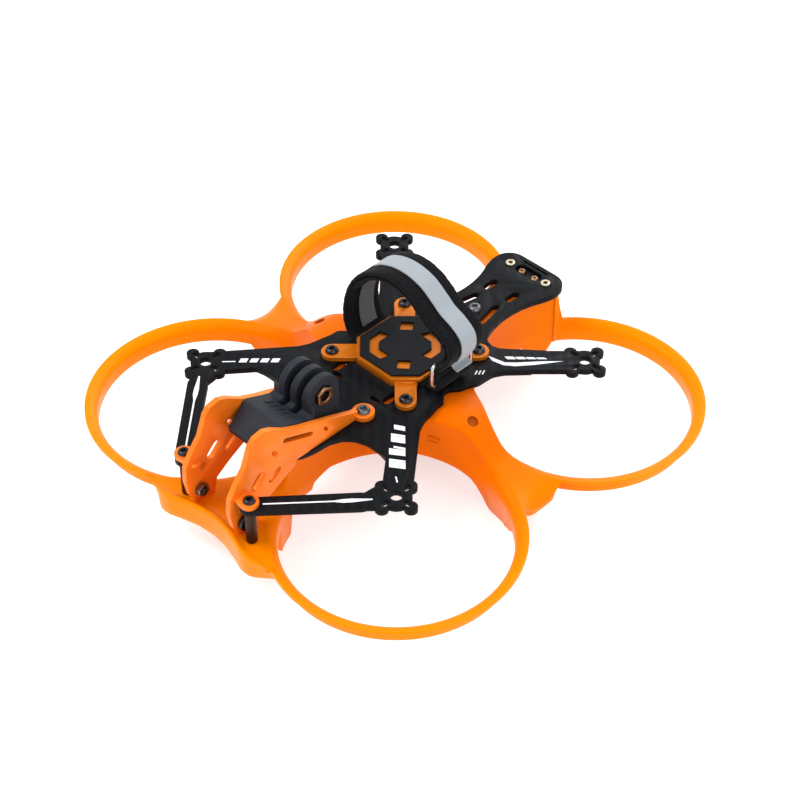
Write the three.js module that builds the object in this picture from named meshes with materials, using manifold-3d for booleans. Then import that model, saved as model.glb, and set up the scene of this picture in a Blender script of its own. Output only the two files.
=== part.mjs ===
// Ducted quadcopter frame: a moulded duct guard hung under a carbon plate, with two
// side plates, an action camera mount, a battery bracket with strap, and a tail.
// Millimetres, +Z up, nose towards -Y, resting on the feet at z = 0.
import * as THREE from 'three';
import { mergeVertices } from 'three/addons/utils/BufferGeometryUtils.js';
import Module from 'manifold-3d';

const wasm = await Module();
wasm.setup();

// ---------------------------------------------------------------- main dimensions
const TOP = 42;                 // top face of the main plate
const PLATE_T = 2.5;            // plate thickness
const UNDER = TOP - PLATE_T;    // underside of the main plate
const MOTOR = 55.45;            // motor centres at (+-MOTOR, +-MOTOR)
const DUCT_R = 46.5;            // inner radius of each duct
const LIP_R = 51.84;            // outer radius of each bell-mouth lip
const LIP_Z = TOP - 19.8;       // top of the lip
const RING_Z = TOP - 28.35;     // bottom of the ring
const WALL = 1.8;               // moulding wall
const GAP = 0.15;               // assembly clearance between pieces
const FINE = 0.05;              // finest detail kept in a mesh
const RING_SEG = 40;           // facets round a duct

const PAD_SLOT = [4.9, 6.9];    // motor slots run between these distances, on the pad axes
const PAD_CORE_R = 6.3;         // round middle of a motor pad
const PAD_TIP = 7.9;            // centre of each pad lobe
const PAD_LOBE_R = 2.75;

const LUG_F = [19, -98.2];      // front lug of a side plate, on the brace end
const LUG_R = [14, -32.3];      // rear lug of a side plate
const SIDE_IN = 11.6;           // inner face of a side plate
const SIDE_OUT = 14.0;          // outer face of a side plate
const BOLT = [-97.5, TOP - 12.9];   // side bolt (y, z)
const POST_LOW = TOP - 19.8;    // foot of the front posts
const FLOOR_F = TOP - 20.3;     // moulded floor at the nose

const BR_Y = 5.8;               // centre of the battery bracket
const BR_HALF = 21.5;           // bracket screws at (+-BR_HALF, BR_Y +- BR_HALF)
const BR_LUG_T = 2.2;
const BR_TOP = TOP + 4.2;
const STRAP_W = 20;             // strap width, along Y
const STRAP_T = 1.7;            // strap thickness
const STRAP_Y = BR_Y;

const MOUNT_AXIS = [-48.5, TOP + 17.6];   // action camera axle (y, z)
const FINGER_R = 8.6;
const FINGER_T = 3.2;
const FINGER_PITCH = 6.6;

const BUCKLE_X = 26.2;          // axis of the strap buckle
const BUCKLE_Z = TOP + 5.4;

// ---------------------------------------------------------------- materials
const look = (color, roughness, metalness = 0) =>
  new THREE.MeshStandardMaterial({ color, roughness, metalness });
const ORANGE = () => look(0xff7a00, 0.42);
const ORANGE_PLATE = () => look(0xe8802a, 0.45);
const ANODISED = () => look(0xc96a10, 0.35, 0.6);
const CARBON = () => look(0x22252a, 0.6);
const SLATE = () => look(0x3c414b, 0.8);
const PAD_BLACK = () => look(0x1d2024, 0.85);
const STEEL = () => look(0x8d9197, 0.35, 1);
const BLACK_STEEL = () => look(0x2a2c30, 0.4, 0.9);
const WEBBING = () => look(0x131417, 0.95);
const GRIP = () => look(0x9aa3aa, 0.7);

// ---------------------------------------------------------------- solid helpers
const solid = (geometry) => {
  const bare = geometry.clone();
  bare.deleteAttribute('normal');
  bare.deleteAttribute('uv');
  const g = mergeVertices(bare, 1e-4);
  return new wasm.Manifold(new wasm.Mesh({
    numProp: 3,
    vertProperties: new Float32Array(g.attributes.position.array),
    triVerts: new Uint32Array(g.index.array),
  }));
};

const geometryOf = (manifold) => {
  const m = manifold.simplify(FINE).getMesh();
  const g = new THREE.BufferGeometry();
  g.setAttribute('position', new THREE.BufferAttribute(new Float32Array(m.vertProperties), 3));
  g.setIndex(new THREE.BufferAttribute(new Uint32Array(m.triVerts), 1));
  return g;
};

const join = (list) => list.reduce((a, b) => a.add(b));
const cut = (body, list) => list.reduce((a, b) => a.subtract(b), body);

const prismZ = (points, z0, z1) => {
  const shape = new THREE.Shape(points.map(([x, y]) => new THREE.Vector2(x, y)));
  const g = new THREE.ExtrudeGeometry(shape, { depth: z1 - z0, bevelEnabled: false });
  g.translate(0, 0, z0);
  return solid(g);
};

// Profile drawn in (y, z) and extruded from x0 to x1.
const prismX = (points, x0, x1) => {
  const shape = new THREE.Shape(points.map(([y, z]) => new THREE.Vector2(y, z)));
  const g = new THREE.ExtrudeGeometry(shape, { depth: x1 - x0, bevelEnabled: false });
  g.applyMatrix4(new THREE.Matrix4().makeBasis(
    new THREE.Vector3(0, 1, 0), new THREE.Vector3(0, 0, 1), new THREE.Vector3(1, 0, 0)));
  g.translate(x0, 0, 0);
  return solid(g);
};

const box = (x0, x1, y0, y1, z0, z1) => {
  const g = new THREE.BoxGeometry(x1 - x0, y1 - y0, z1 - z0);
  g.translate((x0 + x1) / 2, (y0 + y1) / 2, (z0 + z1) / 2);
  return solid(g);
};

const cylZ = (x, y, r, z0, z1, seg = 20) => {
  const g = new THREE.CylinderGeometry(r, r, z1 - z0, seg);
  g.rotateX(Math.PI / 2);
  g.translate(x, y, (z0 + z1) / 2);
  return solid(g);
};

const cylX = (y, z, r, x0, x1, seg = 20) => {
  const g = new THREE.CylinderGeometry(r, r, x1 - x0, seg);
  g.rotateZ(Math.PI / 2);
  g.translate((x0 + x1) / 2, y, z);
  return solid(g);
};

const cylY = (x, z, r, y0, y1, seg = 16) => {
  const g = new THREE.CylinderGeometry(r, r, y1 - y0, seg);
  g.translate(x, (y0 + y1) / 2, z);
  return solid(g);
};

// Body of revolution about a vertical axis at (x, y); the profile is a closed (r, z) loop.
const turned = (x, y, profile, seg = 24) => {
  const loop = [...profile, profile[0]].map(([r, z]) => new THREE.Vector2(r, z));
  const g = new THREE.LatheGeometry(loop, seg);
  g.rotateX(Math.PI / 2);
  g.translate(x, y, 0);
  return solid(g);
};

const arc = (cx, cy, r, a0, a1, n) => Array.from({ length: n + 1 }, (_, i) => {
  const a = THREE.MathUtils.degToRad(a0 + (a1 - a0) * i / n);
  return [cx + r * Math.cos(a), cy + r * Math.sin(a)];
});

// Bar with rounded ends between two points in plan.
const barPoints = ([x0, y0], [x1, y1], r0, r1 = r0, n = 8) => {
  const a = THREE.MathUtils.radToDeg(Math.atan2(y1 - y0, x1 - x0));
  return [...arc(x1, y1, r1, a - 90, a + 90, n), ...arc(x0, y0, r0, a + 90, a + 270, n)];
};
const bar = (p, q, z0, z1, r0, r1, n) => prismZ(barPoints(p, q, r0, r1, n), z0, z1);
const mirrorX = (points) => points.map(([x, y]) => [-x, y]);

const group = new THREE.Group();
group.name = 'fpv_ducted_frame';

const addNode = (name, body, material, parent = group, at = [0, 0, 0]) => {
  const g = body.isBufferGeometry ? body : geometryOf(body);
  if (at.some((v) => v !== 0)) g.translate(-at[0], -at[1], -at[2]);
  g.computeVertexNormals();
  const mesh = new THREE.Mesh(g, material);
  mesh.name = name;
  mesh.position.set(...at);
  parent.add(mesh);
  return mesh;
};

// ---------------------------------------------------------------- duct rings
const ringProfile = [
  [DUCT_R, RING_Z], [DUCT_R + 1.5, RING_Z], [DUCT_R + 1.7, LIP_Z - 3.6],
  [LIP_R - 1.9, LIP_Z - 1.7], [LIP_R, LIP_Z - 1.0], [LIP_R, LIP_Z],
  [LIP_R - 2.2, LIP_Z - 0.1], [DUCT_R + 1.0, LIP_Z - 1.3], [DUCT_R, LIP_Z - 3.0],
];
const CORNERS = [
  ['front_left', 1, -1], ['front_right', -1, -1], ['rear_left', 1, 1], ['rear_right', -1, 1],
];
// Landing tab that hangs from the duct wall beside the nose, over 14 degrees of arc.
const noseTab = (sx) => {
  const a0 = sx > 0 ? -161 : -33;
  const outer = arc(sx * MOTOR, -MOTOR, DUCT_R + WALL, a0, a0 + 14, 5);
  const inner = arc(sx * MOTOR, -MOTOR, DUCT_R, a0 + 14, a0, 5);
  return prismZ([...outer, ...inner], 0, RING_Z + 0.5);
};
for (const [name, sx, sy] of CORNERS) {
  let ring = turned(sx * MOTOR, sy * MOTOR, ringProfile, RING_SEG);
  if (sy < 0) ring = ring.add(noseTab(sx));
  addNode(`duct_ring_${name}`, ring, ORANGE());
}

// ---------------------------------------------------------------- moulded hull
// The hull is the space between the four ducts. It is drawn twice, the second time
// smaller by one wall, and the difference is the moulding.
const ductCutters = (grow, flare) => join(CORNERS.map(([, sx, sy]) =>
  turned(sx * MOTOR, sy * MOTOR, flare
    ? [[0.01, -5], [DUCT_R + grow, -5], [DUCT_R + grow, LIP_Z - 3], [DUCT_R + 3 + grow, LIP_Z],
       [DUCT_R + 4.6 + grow, LIP_Z + 5], [DUCT_R + 4.6 + grow, TOP + 5], [0.01, TOP + 5]]
    : [[0.01, -5], [DUCT_R + grow, -5], [DUCT_R + grow, TOP + 5], [0.01, TOP + 5]], RING_SEG)));

const SADDLE_X = 82.4;          // outer edge of the side saddles
const TAIL_Y = 84;              // rear wall of the hull
const HULL_TOP = UNDER - 0.3;

const hullSolid = (w) => {
  const base = w > 0 ? RING_Z - 1 : RING_Z;
  const top = w > 0 ? TOP + 1 : HULL_TOP;
  const sideProfile = [
    [-SADDLE_X + w, base], [-SADDLE_X + w, LIP_Z - w], [-58, LIP_Z + 3.4 - w],
    [-40, HULL_TOP - w], [40, HULL_TOP - w], [58, LIP_Z + 3.4 - w],
    [SADDLE_X - w, LIP_Z - w], [SADDLE_X - w, base],
  ];
  const side = prismX(sideProfile, -26 + w, 26 - w);
  const turnedSide = side.rotate([0, 0, 90]);
  const noseProfile = [
    [-104 + w, base], [-104 + w, FLOOR_F - w], [-70, FLOOR_F - w], [-58, LIP_Z + 3.4 - w],
    [-40, HULL_TOP - w], [0, HULL_TOP - w], [0, base],
  ];
  const nose = prismX(noseProfile, -26 + w, 26 - w);
  const core = prismZ([[-31, -16], [-18, -34], [18, -34], [31, -16], [31, 16], [18, 34],
    [-18, 34], [-31, 16]].map(([x, y]) => [x * (1 - w / 28), y * (1 - w / 28)]), base, top);
  const tail = prismZ([[-18 + w, TAIL_Y - w], [-18 + w, 20], [18 - w, 20], [18 - w, TAIL_Y - w]],
    base, w > 0 ? top : HULL_TOP);
  const flared = turnedSide.add(nose).subtract(ductCutters(w, true));
  return flared.add(core.add(tail).subtract(ductCutters(w, false)));
};

// Nose bumper: a wavy upright wall that stands proud of the floor.
const NOSE_FRONT = -(MOTOR + LIP_R);   // the bumper ends level with the front lips
const bumperHalf = [[0, -101.6], [8, -102.3], [16, -105.2], [22, NOSE_FRONT],
  [26, NOSE_FRONT], [29.5, -106.0]];
const bumperInner = [[28.4, -104.1], [22.5, -105.2], [16.8, -103.1], [8.6, -100.3], [0, -99.6]];
const bumper = prismZ([...bumperHalf, ...bumperInner.slice(0, -1),
  ...mirrorX(bumperInner).reverse(), ...mirrorX(bumperHalf).reverse().slice(0, -1)],
RING_Z + 2, TOP - 16.2);
const noseApron = prismZ([...bumperHalf, [29, -80], [...mirrorX([[29, -80]])[0]],
  ...mirrorX(bumperHalf).reverse().slice(0, -1)], FLOOR_F - WALL, FLOOR_F);

const ringClear = join(CORNERS.map(([, sx, sy]) =>
  cylZ(sx * MOTOR, sy * MOTOR, LIP_R + 0.2, -1, LIP_Z + 0.2, RING_SEG)));
// Hollow feet: skirts that follow the two neighbouring lips down to the ground.
const lipCutters = (grow) => join(CORNERS.map(([, sx, sy]) =>
  cylZ(sx * MOTOR, sy * MOTOR, LIP_R + grow, -3, LIP_Z + 2, RING_SEG)));
const skirt = (x0, x1, y0, y1) => cut(
  box(x0, x1, y0, y1, 0, LIP_Z + 0.6).subtract(lipCutters(0.2)),
  [box(x0 + WALL, x1 - WALL, y0 + WALL, y1 - WALL, -1, LIP_Z + 1).subtract(lipCutters(0.2 + WALL))]);
const sideFoot = (sx) => (sx > 0 ? skirt(60, 72, -12, 12) : skirt(-72, -60, -12, 12));
const rearFoot = skirt(-14, 14, TAIL_Y - 7.5, TAIL_Y);
// Decks close the hull under the slots of the plate.
const deck = (x, y0, y1) => hullSolid(0).intersect(box(-x, x, y0, y1, HULL_TOP - WALL, HULL_TOP));
const decks = deck(18, -30, -13.5).add(deck(20, 36, 74)).subtract(cylZ(0, 48.1, 1.9, 30, TOP, 16));

const hullShell = cut(hullSolid(0), [hullSolid(WALL)])
  .add(noseApron.add(bumper).subtract(ductCutters(0.4, true)))
  .add(decks)
  .subtract(ringClear)
  .subtract(box(-9, 9, TAIL_Y - 8, TAIL_Y + 5, HULL_TOP - 2.4, TOP))
  .add(sideFoot(1)).add(sideFoot(-1)).add(rearFoot);
addNode('duct_hull', hullShell, ORANGE());

// ---------------------------------------------------------------- main plate
const tailHalf = [
  [0, 89.6], ...arc(9.9, 81.6, 8, 90, 0, 6), [17.9, 78.6],
  ...arc(MOTOR, MOTOR, 42.9, 155, 203, 10),
  [18.2, 36.4], [21.6, 35.2], [24.8, 36.0], [27.6, 38.2], [40, 49],
];
const waistHalf = [[44, 35], [36.4, 27], [33.9, 22.6], [33.4, 14.2], [31.6, 11.4], [30.3, 6.8],
  [27.3, 3.4], [27.3, 0.2], [31.0, -3.4], [31.0, -7], [32.1, -11.6], [33.2, -17.2],
  [36, -23], [46, -35]];
const cutOutHalf = [[40.6, -45.2], [37.2, -43.2], [33, -42.3], [26.5, -42.3], [21.5, -44],
  [17.8, -47], [15.4, -52], [14.7, -60], [13.2, -66], [10.4, -68.4], [0, -68.4]];
const plateHalf = [...tailHalf, ...waistHalf, ...cutOutHalf];
const plateBody = prismZ([...plateHalf, ...mirrorX(plateHalf).reverse().slice(1, -1)], UNDER, TOP);

const armParts = CORNERS.flatMap(([, sx, sy]) => {
  const c = [sx * MOTOR, sy * MOTOR];
  const root = sy > 0 ? [sx * 30, 30.4] : [sx * 30.5, -25.2];
  const parts = [bar(root, c, UNDER, TOP, 6, 6, 6), cylZ(...c, PAD_CORE_R, UNDER, TOP, 24)];
  for (const [dx, dy] of [[1, 0], [-1, 0], [0, 1], [0, -1]]) {
    parts.push(cylZ(c[0] + dx * PAD_TIP, c[1] + dy * PAD_TIP, PAD_LOBE_R, UNDER, TOP, 16));
  }
  if (sy < 0) {
    parts.push(bar([sx * LUG_F[0], LUG_F[1]], [sx * 47.6, -66.6], UNDER, TOP, 3.9, 4.2, 8));
    parts.push(prismZ(sx > 0
      ? [[41.5, -69.5], [45.4, -64], [46.2, -57], [54, -57], [54.6, -64.5], [49.6, -69.8]]
      : [[-41.5, -69.5], [-49.6, -69.8], [-54.6, -64.5], [-54, -57], [-46.2, -57], [-45.4, -64]],
    UNDER, TOP));
  }
  return parts;
});
const padHoles = CORNERS.flatMap(([, sx, sy]) => {
  const [cx, cy] = [sx * MOTOR, sy * MOTOR];
  return [cylZ(cx, cy, 2.6, UNDER - 1, TOP + 1, 12),
    ...[[1, 0], [-1, 0], [0, 1], [0, -1]].map(([dx, dy]) =>
      bar([cx + dx * PAD_SLOT[0], cy + dy * PAD_SLOT[0]], [cx + dx * PAD_SLOT[1],
        cy + dy * PAD_SLOT[1]], UNDER - 1, TOP + 1, 1.05, 1.05, 4))];
});
const screwSpots = [
  ...[1, -1].flatMap((sx) => [[sx * BR_HALF, BR_Y + BR_HALF], [sx * BR_HALF, BR_Y - BR_HALF],
    [sx * LUG_F[0], LUG_F[1]], [sx * LUG_R[0], LUG_R[1]]]),
  [0, 48.1],
];
const plateSlots = [1, -1].flatMap((sx) => [
  [[sx * 6.2, 62.6], [sx * 6.2, 67.2], 1.7], [[sx * 8.0, 43.8], [sx * 5.8, 55.0], 1.6],
  [[sx * 14.6, -20], [sx * 14.6, -15.4], 1.9], [[sx * 12.4, -22.6], [sx * 9.4, -22.6], 1.1],
]).concat([[[-3.9, 82.4], [3.9, 82.4], 2.9], [[-6.6, 87.1], [6.6, 87.1], 0.5],
  [[-1.6, -35], [1.6, -35], 1.4]]);
const mainPlate = cut(join([plateBody, ...armParts]), [
  ...padHoles,
  ...screwSpots.map(([x, y]) => cylZ(x, y, 1.65, UNDER - 1, TOP + 1, 10)),
  ...[1, -1].map((sx) => cylZ(sx * 10.2, 82, 1.75, UNDER - 1, TOP + 1, 10)),
  ...plateSlots.map(([p, q, r]) => bar(p, q, UNDER - 1, TOP + 1, r, r, 5)),
]);
addNode('main_plate', mainPlate, CARBON());

// ---------------------------------------------------------------- side plates
const sideOutline = [
  [-28.2, TOP + GAP], [-29.5, TOP + 2.1], [-38.8, TOP + 4.9], [-49.7, TOP + 9.4],
  [-65.5, TOP + 15.2], [-73.3, TOP + 18.8], [-80, TOP + 23.4], [-84.2, TOP + 25.2],
  [-89, TOP + 24.4], [-91.6, TOP + 22], [-92.8, TOP + 18.8], [-95.3, TOP + 12.6],
  [-100.4, TOP + 6.4], [-103.4, TOP + 1.4], [-104, TOP - 6], [-102.6, TOP - 14],
  [-98.4, POST_LOW - 0.2], [-90.4, POST_LOW - 0.2], [-88.6, TOP - 13.1], [-82, TOP - 8.6],
  [-75.8, TOP - 5.2], [-69.8, TOP - 2.2], [-69.2, TOP + GAP],
];
const sideWindows = [
  [[-74.2, TOP + 13.9], [-60.8, TOP + 8.6], 1.1], [[-80.4, TOP + 11.6], [-79.2, TOP + 10], 1.0],
  [[-53.2, TOP + 6.6], [-52.2, TOP + 5.2], 0.8], [[-90.6, TOP + 0.4], [-87.4, TOP + 3.6], 2.3],
  [[-82.2, TOP - 1.4], [-78.4, TOP + 1.4], 1.4], [[-95.6, TOP - 3.2], [-94.4, TOP - 2.4], 1.6],
];
for (const [side, sx] of [['left', 1], ['right', -1]]) {
  const [x0, x1] = sx > 0 ? [SIDE_IN, SIDE_OUT] : [-SIDE_OUT, -SIDE_IN];
  const blade = prismX(sideOutline, x0, x1);
  const windows = sideWindows.map(([p, q, r]) => prismX(barPoints(p, q, r, r, 6), x0 - 1, x1 + 1));
  const frontLug = bar([sx * LUG_F[0], LUG_F[1]], [sx * 13.2, -98.2], TOP + GAP, TOP + 1.9, 3.9, 3.0);
  const rearLug = cylZ(sx * LUG_R[0], LUG_R[1], 4.6, TOP + GAP, TOP + 2.2, 24);
  const plate = cut(join([blade, frontLug, rearLug]), [
    ...windows,
    cylZ(sx * LUG_F[0], LUG_F[1], 1.65, TOP - 1, TOP + 4, 14),
    cylZ(sx * LUG_R[0], LUG_R[1], 1.65, TOP - 1, TOP + 8, 12),
    cylZ(sx * LUG_R[0], LUG_R[1], 3.1, TOP + 2.2, TOP + 8, 16),
    cylX(...BOLT, 1.7, x0 - 1, x1 + 1, 14),
  ]);
  addNode(`side_plate_${side}`, plate, ORANGE_PLATE());
}

// ---------------------------------------------------------------- fasteners
const buttonHead = (x, y, z, headR, headH, length, shankR = 1.5) => turned(x, y, [
  [shankR, z - length], [shankR, z], [headR, z],
  [headR, z + headH * 0.5], [headR * 0.7, z + headH], [1.15, z + headH], [1.15, z + 0.5],
  [0.01, z + 0.5], [0.01, z - length],
], 12);
for (const [side, sx] of [['left', 1], ['right', -1]]) {
  for (const [end, sy] of [['front', -1], ['rear', 1]]) {
    addNode(`bracket_screw_${end}_${side}`, buttonHead(sx * BR_HALF, BR_Y + sy * BR_HALF,
      TOP + BR_LUG_T + GAP, 2.8, 1.5, 4.4), BLACK_STEEL());
  }
  addNode(`side_plate_screw_front_${side}`,
    buttonHead(sx * LUG_F[0], LUG_F[1], TOP + 1.9 + GAP, 2.5, 1.2, 4.2), BLACK_STEEL());
  addNode(`side_plate_screw_rear_${side}`,
    buttonHead(sx * LUG_R[0], LUG_R[1], TOP + 2.2 + GAP, 2.8, 1.5, 4.4), STEEL());
  addNode(`front_post_${side}`, turned(sx * LUG_F[0], LUG_F[1], [
    [0.01, POST_LOW], [2.0, POST_LOW], [2.35, POST_LOW + 0.5], [2.35, UNDER - GAP],
    [0.01, UNDER - GAP]], 16), look(0x2b2523, 0.6));
  // Side bolt with a knurled head outside and a nut inside.
  const [hx0, hx1] = sx > 0 ? [SIDE_OUT + GAP, SIDE_OUT + 2.4] : [-SIDE_OUT - 2.4, -SIDE_OUT - GAP];
  const [nx0, nx1] = sx > 0 ? [SIDE_IN - 2.6, SIDE_IN - GAP] : [-SIDE_IN + GAP, -SIDE_IN + 2.6];
  const [bx0, bx1] = sx > 0 ? [SIDE_IN - 3.4, SIDE_OUT + 0.5] : [-SIDE_OUT - 0.5, -SIDE_IN + 3.4];
  addNode(`side_bolt_${side}`, cylX(...BOLT, 3.4, hx0, hx1, 16).add(cylX(...BOLT, 1.45, bx0, bx1, 14)),
    BLACK_STEEL());
  addNode(`side_nut_${side}`, cylX(...BOLT, 3.0, nx0, nx1, 6).subtract(
    cylX(...BOLT, 1.6, nx0 - 1, nx1 + 1, 14)), STEEL());
}
addNode('tail_standoff_screw', buttonHead(0, 48.1, TOP + GAP, 3.0, 1.4, 9, 1.5), STEEL());

// ---------------------------------------------------------------- tail fittings
// Insert that fills the stadium slot from below, its flange against the underside.
const insert = join([
  bar([-3.9, 82.4], [3.9, 82.4], UNDER - 2.0, UNDER - GAP, 4.2, 4.2, 8),
  bar([-3.9, 82.4], [3.9, 82.4], UNDER - 1.0, UNDER + 0.7, 2.7, 2.7, 8),
]);
addNode('tail_insert', cut(insert, [1, -1].map((sx) =>
  cylZ(sx * 3.7, 82.4, 1.15, UNDER - 4, TOP, 12))), PAD_BLACK());
for (const [side, sx] of [['left', 1], ['right', -1]]) {
  addNode(`tail_screw_${side}`, buttonHead(sx * 3.7, 82.4, UNDER + 0.7 + GAP, 1.9, 1.1, 3.4, 1.0),
    STEEL());
  addNode(`tail_eyelet_${side}`, turned(sx * 10.2, 82, [
    [1.0, UNDER - 0.1], [1.6, UNDER - 0.1], [1.6, TOP + GAP], [2.3, TOP + GAP],
    [2.1, TOP + 0.6], [1.0, TOP + 0.6]], 14), look(0xb9b39c, 0.35, 0.8));
}

// ---------------------------------------------------------------- action camera mount
const [AX_Y, AX_Z] = MOUNT_AXIS;
const MOUNT_HALF = 11.2;
const mountBase = prismX([
  [-58.5, TOP + 0.2], [-60.2, TOP + 6], [-83, TOP + 9.6], [-84, TOP + 13.4], [-75, TOP + 16.2],
  [-72.6, TOP + 18], [-69.6, TOP + 17.4], [-59.4, TOP + 13.2], [-57, TOP + 13.6],
  [-56.8, AX_Z], [-40.5, AX_Z - 3], [-39.8, TOP + 0.2],
], -MOUNT_HALF, MOUNT_HALF);
const fingerSpan = FINGER_PITCH + FINGER_T / 2;
const fingers = [-1, 0, 1].map((i) => {
  const x0 = i * FINGER_PITCH - FINGER_T / 2;
  return cylX(AX_Y, AX_Z, FINGER_R, x0, x0 + FINGER_T, 32).add(
    prismX([[AX_Y - FINGER_R, AX_Z], [AX_Y - FINGER_R, TOP + 0.2], [AX_Y + FINGER_R, TOP + 0.2],
      [AX_Y + FINGER_R, AX_Z]], x0, x0 + FINGER_T));
});
const fingerGaps = [-0.5, 0.5].map((i) => {
  const w = FINGER_PITCH - FINGER_T;
  return prismX([[AX_Y - 13, TOP + 8], [AX_Y + 13, TOP + 6], [AX_Y + 13, TOP + 40],
    [AX_Y - 13, TOP + 40]], i * FINGER_PITCH - w / 2, i * FINGER_PITCH + w / 2);
});
const baseClear = [1, -1].map((sx) => prismX([[-56, TOP + 2], [-30, TOP + 2], [-30, TOP + 30],
  [-56, TOP + 30]], sx > 0 ? fingerSpan : -MOUNT_HALF - 1, sx > 0 ? MOUNT_HALF + 1 : -fingerSpan));
const noseTaper = [1, -1].map((sx) => prismZ(sx > 0
  ? [[8, -90], [8, -84], [MOUNT_HALF, -74], [20, -74], [20, -90]]
  : [[-8, -90], [-20, -90], [-20, -74], [-MOUNT_HALF, -74], [-8, -84]], TOP, TOP + 30));
const mount = cut(join([cut(mountBase, [...baseClear, ...noseTaper]), ...fingers]), [
  ...fingerGaps,
  cylX(AX_Y, AX_Z, 2.6, -20, 20, 18),
  cylX(AX_Y, AX_Z, 4.75, fingerSpan - 1.6, 20, 6),
]);
addNode('action_cam_mount', mount, SLATE());
addNode('action_cam_nut', cut(cylX(AX_Y, AX_Z, 4.4, fingerSpan - 1.45, fingerSpan + 1.6, 6),
  [cylX(AX_Y, AX_Z, 2.3, fingerSpan - 3, fingerSpan + 4, 16)]), STEEL());

// ---------------------------------------------------------------- battery bracket
const octagon = (half, corner, cx, cy) => [
  [cx - half + corner, cy - half], [cx + half - corner, cy - half], [cx + half, cy - half + corner],
  [cx + half, cy + half - corner], [cx + half - corner, cy + half], [cx - half + corner, cy + half],
  [cx - half, cy + half - corner], [cx - half, cy - half + corner]];
const bracketArms = [1, -1].flatMap((sx) => [1, -1].map((sy) =>
  bar([0, BR_Y], [sx * BR_HALF, BR_Y + sy * BR_HALF], TOP + GAP, TOP + BR_LUG_T, 4.4, 4.4, 8)));
const bracketBridge = prismZ(octagon(18.4, 8.5, 0, BR_Y), TOP + GAP, BR_TOP);
const strapChannel = box(-40, 40, STRAP_Y - STRAP_W / 2 - 0.6, STRAP_Y + STRAP_W / 2 + 0.6,
  TOP - 1, TOP + 2.5);
const bracket = cut(join([...bracketArms, bracketBridge]), [strapChannel,
  ...[1, -1].flatMap((sx) => [1, -1].map((sy) =>
    cylZ(sx * BR_HALF, BR_Y + sy * BR_HALF, 1.65, TOP - 1, TOP + 4, 14)))]);
addNode('battery_bracket', bracket, ANODISED());
addNode('battery_pad', prismZ(octagon(17.3, 8.2, 0, BR_Y), BR_TOP + 0.05, BR_TOP + 1.15), PAD_BLACK());

// ---------------------------------------------------------------- battery strap
// Centre line of a band in (x, z); it is thickened to both sides and extruded along Y.
const band = (line, t, width, y = STRAP_Y, divisions = 40) => {
  const curve = new THREE.CatmullRomCurve3(line.map(([x, z]) => new THREE.Vector3(x, 0, z)),
    false, 'catmullrom', 0.5);
  const pts = curve.getSpacedPoints(divisions);
  const left = [];
  const right = [];
  pts.forEach((p, i) => {
    const a = pts[Math.max(i - 1, 0)];
    const b = pts[Math.min(i + 1, pts.length - 1)];
    const d = new THREE.Vector3().subVectors(b, a).normalize();
    left.push([p.x - d.z * t / 2, p.z + d.x * t / 2]);
    right.push([p.x + d.z * t / 2, p.z - d.x * t / 2]);
  });
  const outline = [...left, ...right.reverse()].map(([x, z]) => new THREE.Vector2(x, z));
  const g = new THREE.ExtrudeGeometry(new THREE.Shape(outline), { depth: width, bevelEnabled: false });
  g.rotateX(Math.PI / 2);
  g.translate(0, y + width / 2, 0);
  return solid(g);
};
const loopLine = [
  [20.4, 1.3], [0, 1.3], [-19, 1.3], [-23.6, 3.6], [-25.6, 8.5], [-26.0, 14.5], [-25.0, 21.5],
  [-22.2, 29.5], [-17.4, 36.6], [-10.4, 42.2], [-3.2, 45.0], [4.2, 45.4], [11.2, 43.4],
  [17.2, 39.4], [22.2, 35.4], [28.2, 32.8], [32.6, 29.2], [33.4, 24.0], [31.2, 18.6],
  [27.4, 13.6], [22.6, 11.4],
].map(([x, z]) => [x, z + TOP]);
addNode('battery_strap', band(loopLine, STRAP_T, STRAP_W, STRAP_Y, 56), WEBBING());

const gripLine = [
  [-13.6, 42.1], [-9.8, 44.4], [-3.2, 46.7], [4.2, 47.0], [11.8, 44.8], [18.0, 40.7],
  [23.0, 36.8], [28.9, 34.2], [34.0, 30.0], [34.9, 23.9], [32.4, 17.6],
].map(([x, z]) => [x, z + TOP]);
addNode('strap_grip_strip', band(gripLine, 0.7, 10, STRAP_Y + 0.5, 36), GRIP());

// Pull tab at the lower end of the grip strip, folded outwards.
const tabLine = [[29.8, 14.0], [31.0, 12.9], [32.6, 12.2], [34.6, 12.0]].map(([x, z]) => [x, z + TOP]);
addNode('strap_pull_tab', band(tabLine, 0.9, 9, STRAP_Y + 0.5, 8), GRIP());

// Sewn end that holds the buckle.
const sewnLine = [[22.4, 1.5], [24.6, 1.6], [26.6, 2.1]].map(([x, z]) => [x, z + TOP]);
addNode('strap_sewn_end', band(sewnLine, 1.7, STRAP_W, STRAP_Y, 6), WEBBING());

// Rectangular steel ring, hinged on its lower bar.
const ringH = 10.6;
const buckleBars = [
  cylY(BUCKLE_X, BUCKLE_Z, 0.9, STRAP_Y - 11.4, STRAP_Y + 11.4),
  cylY(BUCKLE_X, BUCKLE_Z + ringH, 0.9, STRAP_Y - 11.4, STRAP_Y + 11.4),
  ...[1, -1].map((s) => cylZ(BUCKLE_X, STRAP_Y + s * 11.4, 0.9, BUCKLE_Z, BUCKLE_Z + ringH, 16)),
  ...[1, -1].flatMap((s) => [0, ringH].map((h) => {
    const ball = new THREE.SphereGeometry(0.9, 12, 8);
    ball.translate(BUCKLE_X, STRAP_Y + s * 11.4, BUCKLE_Z + h);
    return solid(ball);
  })),
];
addNode('strap_buckle', join(buckleBars), STEEL(), group, [BUCKLE_X, STRAP_Y, BUCKLE_Z]);

export default group;
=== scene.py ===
"""Ducted quadcopter frame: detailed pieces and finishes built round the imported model.

Lengths in this file are millimetres unless a name says otherwise; MM turns them into metres.
Heights called "over the plate" are counted from the top face of the main plate.
"""
import math

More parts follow.
